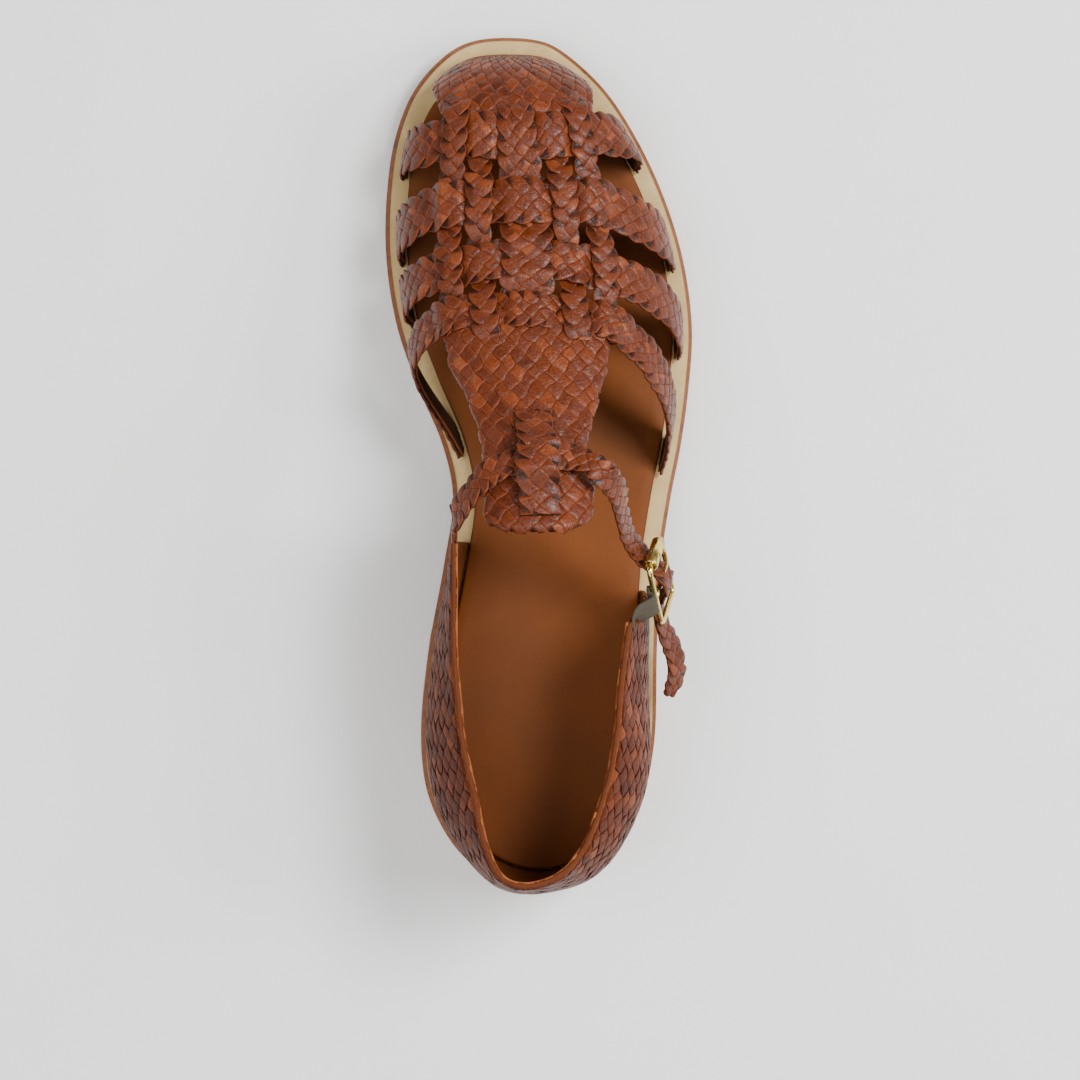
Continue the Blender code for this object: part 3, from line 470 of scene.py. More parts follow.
class Band:
    """A band whose centre line runs over the last, with places along and across it in metres."""

    def __init__(self, rows, girths, level):
        centre, normal = on_last(rows, girths, np.zeros(len(rows)))
        self.reach = lengths_along(centre)
        self.rows, self.girths, self.level = rows, girths, level
        along = unit(np.gradient(centre, self.reach, axis=0))
        across = unit(np.cross(normal, along))
        step_row, step_girth = 0.0008, 0.01
        zero = np.zeros(len(rows))
        with_row = (on_last(rows + step_row, girths, zero)[0] - on_last(rows - step_row, girths, zero)[0]) / (
            2 * step_row
        )
        with_girth = (
            on_last(rows, girths + step_girth, zero)[0] - on_last(rows, girths - step_girth, zero)[0]
        ) / (2 * step_girth)
        aa, bb = (with_row**2).sum(1), (with_girth**2).sum(1)
        ab = (with_row * with_girth).sum(1)
        ax, bx = (with_row * across).sum(1), (with_girth * across).sum(1)
        ground = aa * bb - ab**2
        self.row_step = (ax * bb - bx * ab) / ground
        self.girth_step = (bx * aa - ax * ab) / ground
        self.length = float(self.reach[-1])

    def place(self, s, t, height):
        row = np.interp(s, self.reach, self.rows) + t * np.interp(s, self.reach, self.row_step)
        girth = np.interp(s, self.reach, self.girths) + t * np.interp(s, self.reach, self.girth_step)
        return on_last(row, girth, height + np.interp(s, self.reach, self.level))[0]


def quarter_line():
    inner = [point for point in INNER_FEATHER if point[1] < QUARTER_INNER_FRONT * LENGTH]
    outer = [point for point in OUTER_FEATHER if point[1] < QUARTER_OUTER_FRONT * LENGTH]
    return np.array(inner[::-1] + outer[1:])


QUARTER_LINE = quarter_line()
QUARTER_LENGTHS = lengths_along(QUARTER_LINE)
QUARTER_LENGTH = float(QUARTER_LENGTHS[-1])


def quarter_point(round_share, height_share):
    """The quarter's inner face and its outward direction in plan."""
    round_share, height_share = np.broadcast_arrays(
        np.asarray(round_share, float), np.asarray(height_share, float)
    )
    reach = round_share * QUARTER_LENGTH

    def on_line(at):
        return np.stack([np.interp(at, QUARTER_LENGTHS, QUARTER_LINE[:, k]) for k in (0, 1)], axis=-1)

    along = unit(
        on_line(np.minimum(reach + 0.004, QUARTER_LENGTH)) - on_line(np.maximum(reach - 0.004, 0.0))
    )
    outward = np.stack([along[..., 1], -along[..., 0]], axis=-1)
    lean, bulge, top = [smooth_table(QUARTER, k, round_share) for k in (1, 2, 3)]
    rise = np.maximum(height_share, 0.0)
    inward = lean * rise**1.6 - bulge * np.sin(math.pi * np.minimum(rise, 1.0) ** 0.9)
    point = on_line(reach) - outward * (inward * BALL_WIDTH)[..., None]
    foot = feather_height(point[..., 1])
    z = foot + height_share * (top * COLLAR_HEIGHT - foot)
    full = np.concatenate([point, z[..., None]], axis=-1)
    return full, np.concatenate([outward, np.zeros_like(z)[..., None]], axis=-1)


QUARTER_ROUNDS = np.linspace(0.0, 1.0, 401)
QUARTER_HEIGHTS = np.linspace(-0.10, 1.06, 117)


def make_quarter():
    rounds, heights = np.meshgrid(QUARTER_ROUNDS, QUARTER_HEIGHTS, indexing="ij")
    points, outward = quarter_point(rounds, heights)
    normals = unit(np.cross(np.gradient(points, axis=0), np.gradient(points, axis=1)))
    flip = np.sign((normals * outward).sum(-1, keepdims=True))
    return points, normals * flip


QUARTER_POINTS, QUARTER_NORMALS = make_quarter()
QUARTER_RISE = 0.056


def on_quarter(s, t, height):
    """Places on the quarter: s round it and t up it in metres, height out from its inner face."""
    rounds, heights = s / QUARTER_LENGTH, t / QUARTER_RISE
    point = from_grid(QUARTER_POINTS, QUARTER_ROUNDS, QUARTER_HEIGHTS, rounds, heights)
    normal = unit(from_grid(QUARTER_NORMALS, QUARTER_ROUNDS, QUARTER_HEIGHTS, rounds, heights))
    return point + normal * np.asarray(height)[..., None]


def buckle_axes():
    """Centre, strap direction, bar direction and outward direction of the buckle."""
    wall, _ = quarter_point(1.0 - QUARTER_SLANT / 2, BUCKLE_HEIGHT)
    outward = np.array([math.cos(BUCKLE_LEAN), 0.0, math.sin(BUCKLE_LEAN)])
    down = np.array([math.sin(BUCKLE_LEAN), 0.0, -math.cos(BUCKLE_LEAN)])
    back = np.array([0.0, -1.0, 0.0])
    along = math.cos(STRAP_FALL) * back + math.sin(STRAP_FALL) * down
    centre = wall + outward * (WALL + RELIEF + BUCKLE_OUT) - back * BUCKLE_FORWARD
    return centre, along, np.cross(along, outward), outward


BUCKLE = buckle_axes()


def in_buckle(along, bar, out):
    centre, along_axis, bar_axis, out_axis = BUCKLE
    return centre + along_axis * along + bar_axis * bar + out_axis * out


def strap_rows():
    """Centre points and outward directions of the ankle strap, from its root to its free end."""
    clear = WALL + RELIEF + STRAP_CLEAR
    root, outward = quarter_point(0.0, STRAP_ROOT_HEIGHT)
    root = root + outward * WALL / 2 + np.array([0.0, 2 * GAP, 0.0])
    rows = [(root - np.array([0.0, SEAM_LAP, 0.0]), outward), (root, outward)]
    rows.append((root + np.array([0.0, STRAP_WIDTH / 2, 0.0]), outward))

    def in_open(station, across, height, lean):
        point = np.array([across * BALL_WIDTH, station * LENGTH, height * COLLAR_HEIGHT])
        turn = math.radians(lean)
        rows.append((point, np.array([math.sin(turn), 0.0, math.cos(turn)])))

    for row in STRAP_INSIDE:
        in_open(*row)
    for station, girth in STRAP_ON_TONGUE:
        point, normal = on_last(station * LENGTH, girth, PANEL_LEVEL + clear + WALL / 2)
        rows.append((point, normal))
    for row in STRAP_OUTSIDE:
        in_open(*row)
    half = BUCKLE_LENGTH / 2
    under_roller = ROLLER_DIAMETER / 2 + 3 * GAP + RELIEF + WALL / 2
    over_bar = WIRE / 2 + GAP + WALL / 2
    rows.append((in_buckle(-half, 0.0, -under_roller), BUCKLE[3]))
    rows.append((in_buckle(0.0, 0.0, over_bar), BUCKLE[3]))
    rows.append((in_buckle(half, 0.0, -over_bar - RELIEF), BUCKLE[3]))
    for round_share, height, out in STRAP_TAIL:
        point, outward = quarter_point(round_share, height)
        face = outward * math.cos(TAIL_LEAN) + np.array([0.0, 0.0, math.sin(TAIL_LEAN)])
        rows.append((point + outward * (clear + out + WALL / 2), face))
    return rows


class FreeBand:
    """A flat band in the open whose middle follows rows of points and outward directions."""

    def __init__(self, rows, thick):
        steps = 12
        self.points = smooth_curve([row[0] for row in rows], steps)
        at = np.arange(len(self.points)) / steps
        facing = np.array([row[1] for row in rows])
        outward = np.stack([np.interp(at, range(len(rows)), facing[:, k]) for k in range(3)], 1)
        self.reach = lengths_along(self.points)
        along = unit(np.gradient(self.points, self.reach, axis=0))
        self.across = unit(np.cross(outward, along))
        self.outward = np.cross(along, self.across)
        self.length = float(self.reach[-1])
        self.thick = thick

    def place(self, s, t, height):
        def at(table):
            return np.stack([np.interp(s, self.reach, table[:, k]) for k in range(3)], axis=-1)

        outward = unit(at(self.outward))
        lift = (np.asarray(height) - self.thick / 2)[..., None]
        return at(self.points) + unit(at(self.across)) * np.asarray(t)[..., None] + outward * lift


class Build:
    """Collects the faces of a piece, with colours for its tone, its cut edges and its depth, which paints
    shade where a strip goes under.
    """

    def __init__(self):
        self.points, self.faces, self.marks = [], [], []
        self.count = 0

    def add(self, points, faces, marks):
        self.points.append(points.reshape(-1, 3))
        self.marks.append(marks.reshape(-1, 4))
        self.faces.append(faces + self.count)
        self.count += points.reshape(-1, 3).shape[0]

    def tube(self, points, marks, closed=False):
        """Rings of points, each a closed section, with capped ends unless the tube is closed."""
        rings, around = points.shape[:2]
        at = np.arange(rings * around).reshape(rings, around)
        low = at if closed else at[:-1]
        high = np.roll(at, -1, axis=0) if closed else at[1:]
        quads = np.stack([low, np.roll(low, -1, 1), np.roll(high, -1, 1), high], axis=-1).reshape(-1, 4)
        faces = [quads]
        if not closed:
            pairs = np.arange(around // 2 - 1)
            for ring, turned in ((at[0], True), (at[-1], False)):
                cap = np.stack([ring[pairs], ring[pairs + 1], ring[-2 - pairs], ring[-1 - pairs]], axis=-1)
                faces.append(cap[:, ::-1] if turned else cap)
        self.add(points, np.concatenate(faces), marks)

    def finish(self, name, material, replaces):
        points = np.concatenate(self.points) + SHIFT
        faces = np.concatenate(self.faces)
        marks = np.concatenate(self.marks)
        mesh = bpy.data.meshes.new(name)
        mesh.vertices.add(len(points))
        mesh.vertices.foreach_set("co", points.astype(np.float32).ravel())
        mesh.loops.add(faces.size)
        mesh.loops.foreach_set("vertex_index", faces.astype(np.int32).ravel())
        mesh.polygons.add(len(faces))
        mesh.polygons.foreach_set("loop_start", np.arange(0, faces.size, 4, dtype=np.int32))
        mesh.polygons.foreach_set("use_smooth", np.full(len(faces), True))
        layer = mesh.attributes.new("strip", "FLOAT_COLOR", "POINT")
        layer.data.foreach_set("color", marks.astype(np.float32).ravel())
        mesh.update(calc_edges=True)
        mesh.validate()
        obj = bpy.data.objects.new(name, mesh)
        bpy.context.scene.collection.objects.link(obj)
        mesh.materials.append(material)
        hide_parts(*replaces)
        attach(obj, "root")
        return obj


SECTION = np.array(STRIP_SECTION)


def drift(s, t, seed):
    """The unevenness of plaiting by hand: each spot is a little off its place, in metres."""
    first = np.sin(s * 560 + t * 330 + seed) + 0.8 * np.sin(s * 1170 - t * 610 + 2.3 * seed)
    second = np.sin(t * 640 - s * 290 + 1.7 * seed) + 0.8 * np.sin(t * 1230 + s * 520 + 0.6 * seed)
    return first, second


def rolled(value, height, low, high):
    """Wraps what passes the edges round them: the strips turn down to the inner face there."""
    beyond = np.maximum(value - (high - TURN_MARGIN), (low + TURN_MARGIN) - value)
    angle = np.clip(beyond / TURN_RADIUS, 0.0, 1.6)
    side = np.where(value > (low + high) / 2, 1.0, -1.0)
    start = np.where(side > 0, high - TURN_MARGIN, low + TURN_MARGIN)
    turned = start + side * height * np.sin(angle)
    return np.where(beyond > 0, turned, value), np.where(beyond > 0, height * np.cos(angle), height)


def over_under(sign):
    """Height of a strip's middle: level while it goes over or under, with a quick step between."""
    return STRIP_MIDDLE + STRIP_BOW * np.tanh(STRIP_STEP * sign) / math.tanh(STRIP_STEP)


def add_strip(build, place, s, t, width, height, tones, stretch, uneven):
    """One leather strip along a path in the flat of its band; stretch widens the band along its length."""
    path = np.stack([s, t], axis=1)
    along = unit(np.gradient(path, axis=0))
    side = np.stack([-along[:, 1], along[:, 0]], axis=1)
    across = SECTION[None, :, 0] * width[:, None]
    flat = path[:, None, :] + side[:, None, :] * across[..., None]
    crown = STRIP_CROWN * (1 - (2 * SECTION[None, :, 0]) ** 2)
    roll = np.convolve(np.pad((tones * 7.3) % 1.0 - 0.5, 2, "edge"), np.ones(5) / 5, "valid") * STRIP_ROLL
    rise = height[:, None] + SECTION[None, :, 1] * STRIP_THICK + crown
    rise = rise + across * roll[:, None]
    off_s, off_t = drift(flat[..., 0], flat[..., 1], 1.3)
    s_all, t_all = flat[..., 0] + uneven * off_s, flat[..., 1] + uneven * off_t
    points = place(s_all, t_all * stretch(s_all), rise)
    # Painted shade: the light mark is the strip's height over or under its neighbours times the light that
    # reaches each point of its section
    depth = np.clip((height - STRIP_MIDDLE) / (2 * STRIP_BOW) + 0.5, 0, 1)
    marks = np.zeros((*points.shape[:2], 4))
    marks[..., 0] = tones[:, None]
    marks[..., 1] = SECTION[None, :, 2]
    marks[..., 2] = depth[:, None] * SECTION[None, :, 3]
    marks[..., 3] = 1.0 - (2 * SECTION[None, :, 0]) ** 2
    build.tube(points, marks)


def braid(build, place, length, width, strands, angle, lead=0.0):
    """A flat plait of the given number of strips, whose strips turn back at its two edges."""
    theta = math.radians(angle)
    middle = float(np.mean(width(np.linspace(0, length, 9))))
    turn = EDGE_TURN
    cell = middle / (2 * ((strands / 4 - turn / 2) / math.cos(theta) + STRIP_FILL / 2))
    step = cell / math.sin(theta)
    total = length / step
    period = strands * 1.0
    spots = [j for j in range(1, 2 * strands) if j != strands]
    signs = [1.0 if i % 2 == 0 else -1.0 for i in range(len(spots))]
    spots = [spots[-1] - 2 * strands, *spots, 2 * strands + spots[0]]
    signs = [signs[-1], *signs, signs[0]]
    for k in range(strands):
        u = np.linspace(0.0, total, max(int(total * 14), 12))
        phase = (u + lead - k + strands / 4) % period
        to_corner = np.minimum(phase, period - phase)
        to_other = np.abs(phase - period / 2)
        near_low = np.where(to_corner < turn, (to_corner**2 + turn**2) / (2 * turn), to_corner)
        near_high = np.where(to_other < turn, (to_other**2 + turn**2) / (2 * turn), to_other)
        v = np.where(to_corner < to_other, -strands / 4 + near_low, strands / 4 - near_high)
        sign = eased(2 * phase, spots, signs)
        height = over_under(sign)
        crossing = np.floor((u + lead) * 2 + 0.5).astype(int) + 37 * k
        tones = tone_of(crossing)
        jitter = 1.0 + 0.06 * (tones - 0.5)
        add_strip(
            build,
            place,
            u * step,
            v * cell / math.cos(theta),
            cell * STRIP_FILL * jitter,
            height,
            tones,
            lambda s: width(s) / middle,
            BRAID_DRIFT,
        )


TONES = rng.random(4096)


def tone_of(numbers):
    return TONES[np.mod(numbers * 131 + 17, 4096)]


def lattice(build, place, along, inside, cell, angle):
    """A panel of plain diagonal weave; place turns its strips down at the panel's edges."""
    theta = math.radians(angle)
    step = cell / math.sin(theta)
    rise = cell / math.cos(theta)
    low, high, reach = along
    fine = cell / 8
    samples = np.arange(low, high, fine * math.cos(theta))
    for family in (1, -1):
        most = int((high - low) / step + 2 * reach / rise) + 4
        for m in range(-most, most + 1):
            t = family * (samples / step - m) * rise
            ok = inside(samples, t) & (np.abs(t) <= reach)
            if not ok.any():
                continue
            edges = np.flatnonzero(np.diff(np.concatenate([[0], ok.astype(int), [0]])))
            for start, end in zip(edges[::2], edges[1::2]):
                if end - start < 4:
                    continue
                s, tt = samples[start:end], t[start:end]
                other = s / step + family * tt / rise
                sign = family * np.cos(math.pi * (other + m))
                height = over_under(sign)
                tones = tone_of(np.floor(other + 0.5).astype(int) + 61 * m + 900 * family)
                width = cell * STRIP_FILL * (1.0 + 0.05 * (tones - 0.5))
                add_strip(build, place, s, tt, width, height, tones, lambda x: 1.0, PANEL_DRIFT)


def add_sheet(build, place, along, low_edge, high_edge, under, over, columns, wave=None):
    """A closed thin sheet between two edges, from one height to another."""
    share = np.linspace(0.0, 1.0, columns)
    s = np.repeat(along[:, None], columns, axis=1)
    t = low_edge[:, None] + (high_edge - low_edge)[:, None] * share[None, :]
    if wave is not None:
        t = t + wave(s) * share[None, :] ** 8
    top = place(s, t, np.full(s.shape, over))
    under_side = place(s, t, np.full(s.shape, under))
    ring = np.concatenate([top, under_side[:, ::-1]], axis=1)
    marks = np.zeros((*ring.shape[:2], 4))
    marks[..., 0] = 0.5
    marks[..., 3] = 1.0
    for edge in (0, columns - 1, columns, 2 * columns - 1):
        marks[:, edge, 1] = 1.0
    build.tube(ring, marks)


def add_wire(build, points, diameter, closed=False, flare=None):
    """A round wire through the points."""
    points = np.array(points, float)
    if closed:
        along = unit(np.roll(points, -1, 0) - np.roll(points, 1, 0))
    else:
        along = unit(np.gradient(points, axis=0))
    reference = np.array([0.31, 0.24, 0.92])
    side = unit(np.cross(along, reference))
    for i in range(1, len(points)):
        turned = side[i - 1] - along[i] * float(side[i - 1] @ along[i])
        side[i] = turned / np.linalg.norm(turned)
    up = np.cross(along, side)
    turn = np.linspace(0, 2 * math.pi, 20, endpoint=False)
    radius = np.full(len(points), diameter / 2) if flare is None else diameter / 2 * flare
    rings = points[:, None] + radius[:, None, None] * (
        side[:, None] * np.cos(turn)[None, :, None] + up[:, None] * np.sin(turn)[None, :, None]
    )
    build.tube(rings, np.tile([0.5, 0.0, 0.5, 1.0], (*rings.shape[:2], 1)), closed)


def srgb(value):
    """A hex colour as linear light."""
    parts = [int(value[i : i + 2], 16) / 255 for i in (1, 3, 5)]
    return (*[c / 12.92 if c <= 0.04045 else ((c + 0.055) / 1.055) ** 2.4 for c in parts], 1.0)


def new_material(name):
    material = bpy.data.materials.new(name)
    material.use_nodes = True
    material.node_tree.nodes.clear()
    return material.node_tree, material


def add_node(tree, kind, inputs=None, **settings):
    """Adds a node with its settings; an input is a value or another node's output to link."""
    made = tree.nodes.new("ShaderNode" + kind)
    for key, value in settings.items():
        setattr(made, key, value)
    for key, value in (inputs or {}).items():
        if isinstance(value, bpy.types.NodeSocket):
            tree.links.new(value, made.inputs[key])
        else:
            made.inputs[key].default_value = value
    return made


def per_mm(size):
    """Texture scale for a feature of that many millimetres, in object coordinates of metres."""
    return 1000.0 / size


def set_stops(node, stops):
    """Gives a colour ramp its stops, each a position and a hex colour, in order."""
    elements = node.color_ramp.elements
    for element, (position, colour) in zip(elements, (stops[0], stops[-1])):
        element.position, element.color = position, srgb(colour)
    for position, colour in stops[1:-1]:
        elements.new(position).color = srgb(colour)


# Rust dye on calf, from where it gathers to where it takes least; the greyish stop at 0.64 is a painted
# sheen, a reflection painted into some strips' tone
DYE_AND_SHEEN = (
    (0.18, "#30130C"),
    (0.34, "#50200E"),
    (0.50, "#632A0F"),
    (0.64, "#582A1D"),
    (0.78, "#703214"),
    (0.88, "#874628"),
)


def glazed_calf(name, index, shade, rub, edge):
    """Vegetable-tanned calf strips, dyed rust brown and glazed: each strip takes its own tone, one of them a
    painted greyish sheen, the glaze darkens and creases it, painted shade darkens it where it goes under its
    neighbour and on its lower sides, its sides are rubbed warmer and its cut edges have a colour of their
    own."""
    tree, material = new_material(name)
    coords = add_node(tree, "TexCoord").outputs["Object"]
    strip = add_node(tree, "Attribute", attribute_name="strip")
    parts = add_node(tree, "SeparateColor", {0: strip.outputs["Color"]})
    tone, cut, lit = parts.outputs[0], parts.outputs[1], parts.outputs[2]
    # Dye takes unevenly over about 9 mm, beside the strips' own change of tone
    cloud = add_node(
        tree, "TexNoise", {"Vector": coords, "Scale": per_mm(9.0), "Detail": 3.0, "Roughness": 0.6}
    )
    mixed = add_node(tree, "Math", {0: tone, 1: 0.62}, operation="MULTIPLY")
    mixed = add_node(
        tree,
        "Math",
        {0: cloud.outputs["Fac"], 1: 0.50, 2: mixed.outputs[0]},
        operation="MULTIPLY_ADD",
    )
    # Painted sheen: the ramp's greyish stop stands for a reflection on some strips, the other stops are dye
    # tones
    dye_and_sheen = add_node(tree, "ValToRGB", {"Fac": mixed.outputs[0]})
    set_stops(dye_and_sheen, DYE_AND_SHEEN)
    # Fine mottle of the glaze, 0.9 mm
    mottle = add_node(
        tree, "TexNoise", {"Vector": coords, "Scale": per_mm(0.9), "Detail": 4.0, "Roughness": 0.7}
    )
    # The shade argument scales the colour; the quarter's lower value is painted shade
    mottled = add_node(
        tree,
        "MapRange",
        {
            "Value": mottle.outputs["Fac"],
            "From Min": 0.35,
            "From Max": 0.75,
            "To Min": 0.68 * shade,
            "To Max": 1.24 * shade,
        },
    )
    grain = add_node(
        tree,
        "MixRGB",
        {"Fac": 1.0, "Color1": dye_and_sheen.outputs["Color"], "Color2": mottled.outputs[0]},
        blend_type="MULTIPLY",
    )
    # Polishing dulls and greys the middle of each strip and leaves its sides a warmer orange
    middle = add_node(
        tree, "Math", {0: strip.outputs["Alpha"], 1: cloud.outputs["Fac"]}, operation="MULTIPLY"
    )
    worn = add_node(
        tree,
        "MapRange",
        {"Value": middle.outputs[0], "From Min": 0.10, "From Max": 0.60, "To Min": rub, "To Max": 0.0},
    )
    grain = add_node(
        tree,
        "MixRGB",
        {"Fac": worn.outputs[0], "Color1": grain.outputs[0], "Color2": srgb("#763614")},
    )
    # Painted shade: darker where a strip goes under its neighbour and on its lower sides, from the strip's
    # light mark
    painted_under_shade = add_node(
        tree, "MapRange", {"Value": lit, "From Min": 0.05, "From Max": 0.75, "To Min": 0.20, "To Max": 1.0}
    )
    shaded = add_node(
        tree,
        "MixRGB",
        {"Fac": 1.0, "Color1": grain.outputs[0], "Color2": painted_under_shade.outputs[0]},
        blend_type="MULTIPLY",
    )
    # The cut edges' colour; the quarter's near-black edge colour is painted shade in the grooves
    raw = add_node(
        tree, "MapRange", {"Value": cut, "From Min": 0.15, "From Max": 0.85, "To Min": 0.0, "To Max": 0.8}
    )
    colour = add_node(
        tree,
        "MixRGB",
        {"Fac": raw.outputs[0], "Color1": shaded.outputs[0], "Color2": srgb(edge)},
    )
    # Creases of the glaze, about 1.7 mm apart, and pores of 0.45 mm
    crease = add_node(
        tree,
        "TexVoronoi",
        {"Vector": coords, "Scale": per_mm(1.7), "Randomness": 1.0},
        feature="DISTANCE_TO_EDGE",
    )
    creased = add_node(
        tree, "MapRange", {"Value": crease.outputs["Distance"], "From Min": 0.0, "From Max": 0.12}
    )
    pores = add_node(tree, "TexNoise", {"Vector": coords, "Scale": per_mm(0.45), "Detail": 3.0})
    relief = add_node(tree, "Math", {0: creased.outputs[0], 1: 0.45}, operation="MULTIPLY")
    ripple = add_node(tree, "TexNoise", {"Vector": coords, "Scale": per_mm(3.0), "Detail": 2.0})
    for texture, share in ((pores, 0.55), (ripple, 1.1)):
        relief = add_node(
            tree,
            "Math",
            {0: texture.outputs["Fac"], 1: share, 2: relief.outputs[0]},
            operation="MULTIPLY_ADD",
        )
    bump = add_node(tree, "Bump", {"Height": relief.outputs[0], "Strength": 0.6, "Distance": 0.00022})
    gloss = add_node(
        tree,
        "MapRange",
        {"Value": mottle.outputs["Fac"], "From Min": 0.3, "From Max": 0.75, "To Min": 0.27, "To Max": 0.50},
    )
    rough = add_node(tree, "Math", {0: cut, 1: 0.25, 2: gloss.outputs[0]}, operation="MULTIPLY_ADD")
    shader = add_node(
        tree,
        "BsdfPrincipled",
        {
            "Base Color": colour.outputs[0],
            "Roughness": rough.outputs[0],
            "Normal": bump.outputs[0],
            "IOR": index,
            "Coat Weight": 0.04,
            "Coat Roughness": 0.15,
        },
    )
    add_node(tree, "OutputMaterial", {"Surface": shader.outputs[0]})
    return material


def plain_leather(name, dark, light, edge, rough, patch, pore, depth=0.00006):
    """Leather with slow clouds of tone, fine pores and a raw cut edge in its own colour."""
    tree, material = new_material(name)
    coords = add_node(tree, "TexCoord").outputs["Object"]
    strip = add_node(tree, "Attribute", attribute_name="strip")
    cut = add_node(tree, "SeparateColor", {0: strip.outputs["Color"]}).outputs[1]
    cloud = add_node(
        tree, "TexNoise", {"Vector": coords, "Scale": per_mm(patch), "Detail": 5.0, "Roughness": 0.6}
    )
    spread = add_node(
        tree, "MapRange", {"Value": cloud.outputs["Fac"], "From Min": 0.3, "From Max": 0.7}
    )
    tint = add_node(
        tree, "MixRGB", {"Fac": spread.outputs[0], "Color1": srgb(dark), "Color2": srgb(light)}
    )
    pores = add_node(
        tree, "TexNoise", {"Vector": coords, "Scale": per_mm(pore), "Detail": 4.0, "Roughness": 0.65}
    )
    speck = add_node(
        tree,
        "MapRange",
        {"Value": pores.outputs["Fac"], "From Min": 0.3, "From Max": 0.7, "To Min": 0.93, "To Max": 1.05},
    )
    speckled = add_node(
        tree,
        "MixRGB",
        {"Fac": 1.0, "Color1": tint.outputs[0], "Color2": speck.outputs[0]},
        blend_type="MULTIPLY",
    )
    colour = add_node(
        tree, "MixRGB", {"Fac": cut, "Color1": speckled.outputs[0], "Color2": srgb(edge)}
    )
    bump = add_node(tree, "Bump", {"Height": pores.outputs["Fac"], "Strength": 0.6, "Distance": depth})
    gloss = add_node(
        tree,
        "MapRange",
        {
            "Value": cloud.outputs["Fac"],
            "From Min": 0.3,
            "From Max": 0.7,
            "To Min": rough - 0.06,
            "To Max": rough + 0.06,
        },
    )
    shader = add_node(
        tree,
        "BsdfPrincipled",
        {
            "Base Color": colour.outputs[0],
            "Roughness": gloss.outputs[0],
            "Normal": bump.outputs[0],
            "IOR": 1.27,
        },
    )
    add_node(tree, "OutputMaterial", {"Surface": shader.outputs[0]})
    return material


def burnished_sole():
    """Sole-bend leather, skived and burnished at the edge with wax: dark and light layers run round it."""
    tree, material = new_material("burnished_sole_leather")
    coords = add_node(tree, "TexCoord").outputs["Object"]
    squashed = add_node(tree, "Mapping", {"Vector": coords, "Scale": (1.0, 1.0, 4.0)})
    fibre = add_node(
        tree,
        "TexNoise",
        {"Vector": squashed.outputs[0], "Scale": per_mm(1.6), "Detail": 4.0, "Roughness": 0.6},
    )
    tint = add_node(tree, "ValToRGB", {"Fac": fibre.outputs["Fac"]})
    set_stops(tint, ((0.25, "#6E3A14"), (0.75, "#91521D")))
    parts = add_node(tree, "SeparateXYZ", {0: coords})
    # Heel lifts are 3.2 mm each, with a dark glue line between them
    lifts = add_node(tree, "Math", {0: parts.outputs[2], 1: 0.0032}, operation="MODULO")
    line = add_node(
        tree, "MapRange", {"Value": lifts.outputs[0], "From Min": 0.0, "From Max": 0.00035, "To Min": 0.55}
    )
    lined = add_node(
        tree,
        "MixRGB",
        {"Fac": 1.0, "Color1": tint.outputs["Color"], "Color2": line.outputs[0]},
        blend_type="MULTIPLY",
    )
    bump = add_node(tree, "Bump", {"Height": fibre.outputs["Fac"], "Strength": 0.5, "Distance": 0.0002})
    shader = add_node(
        tree,
        "BsdfPrincipled",
        {
            "Base Color": lined.outputs[0],
            "Roughness": 0.48,
            "Normal": bump.outputs[0],
            "IOR": 1.45,
            "Coat Weight": 0.15,
            "Coat Roughness": 0.35,
        },
    )
    add_node(tree, "OutputMaterial", {"Surface": shader.outputs[0]})
    return material


def polished_brass():
    """Cast and drawn yellow brass, tumbled and polished, with faint dulling from handling."""
    tree, material = new_material("polished_brass")
    coords = add_node(tree, "TexCoord").outputs["Object"]
    smear = add_node(tree, "TexNoise", {"Vector": coords, "Scale": per_mm(2.5), "Detail": 4.0})
    rough = add_node(
        tree,
        "MapRange",
        {"Value": smear.outputs["Fac"], "From Min": 0.3, "From Max": 0.7, "To Min": 0.16, "To Max": 0.32},
    )
    tint = add_node(
        tree,
        "MixRGB",
        {"Fac": smear.outputs["Fac"], "Color1": srgb("#D2B55C"), "Color2": srgb("#E9D58C")},
    )
    scratch = add_node(tree, "TexNoise", {"Vector": coords, "Scale": per_mm(0.3), "Detail": 2.0})
    bump = add_node(tree, "Bump", {"Height": scratch.outputs["Fac"], "Strength": 0.15, "Distance": 0.00003})
    shader = add_node(
        tree,
        "BsdfPrincipled",
        {
            "Base Color": tint.outputs[0],
            "Roughness": rough.outputs[0],
            "Metallic": 1.0,
            "Normal": bump.outputs[0],
        },
    )
    add_node(tree, "OutputMaterial", {"Surface": shader.outputs[0]})
    return material


def woven_elastic():
    """Flat elastic, covered with grey-brown yarn that lies in ribs about 1.6 mm apart."""
    tree, material = new_material("woven_elastic")
    coords = add_node(tree, "TexCoord").outputs["Object"]
    ribs = add_node(
        tree,
        "TexWave",
        {"Vector": coords, "Scale": per_mm(5.0), "Distortion": 1.5},
        bands_direction="Z",
    )
    yarn = add_node(tree, "TexNoise", {"Vector": coords, "Scale": per_mm(0.35), "Detail": 3.0})
    tint = add_node(
        tree, "MixRGB", {"Fac": yarn.outputs["Fac"], "Color1": srgb("#26221C"), "Color2": srgb("#57503F")}
    )
    both = add_node(tree, "Math", {0: ribs.outputs["Fac"], 1: yarn.outputs["Fac"]}, operation="ADD")
    bump = add_node(tree, "Bump", {"Height": both.outputs[0], "Strength": 0.7, "Distance": 0.0002})
    shader = add_node(
        tree,
        "BsdfPrincipled",
        {"Base Color": tint.outputs[0], "Roughness": 0.85, "Normal": bump.outputs[0], "IOR": 1.35},
    )
    add_node(tree, "OutputMaterial", {"Surface": shader.outputs[0]})
    return material


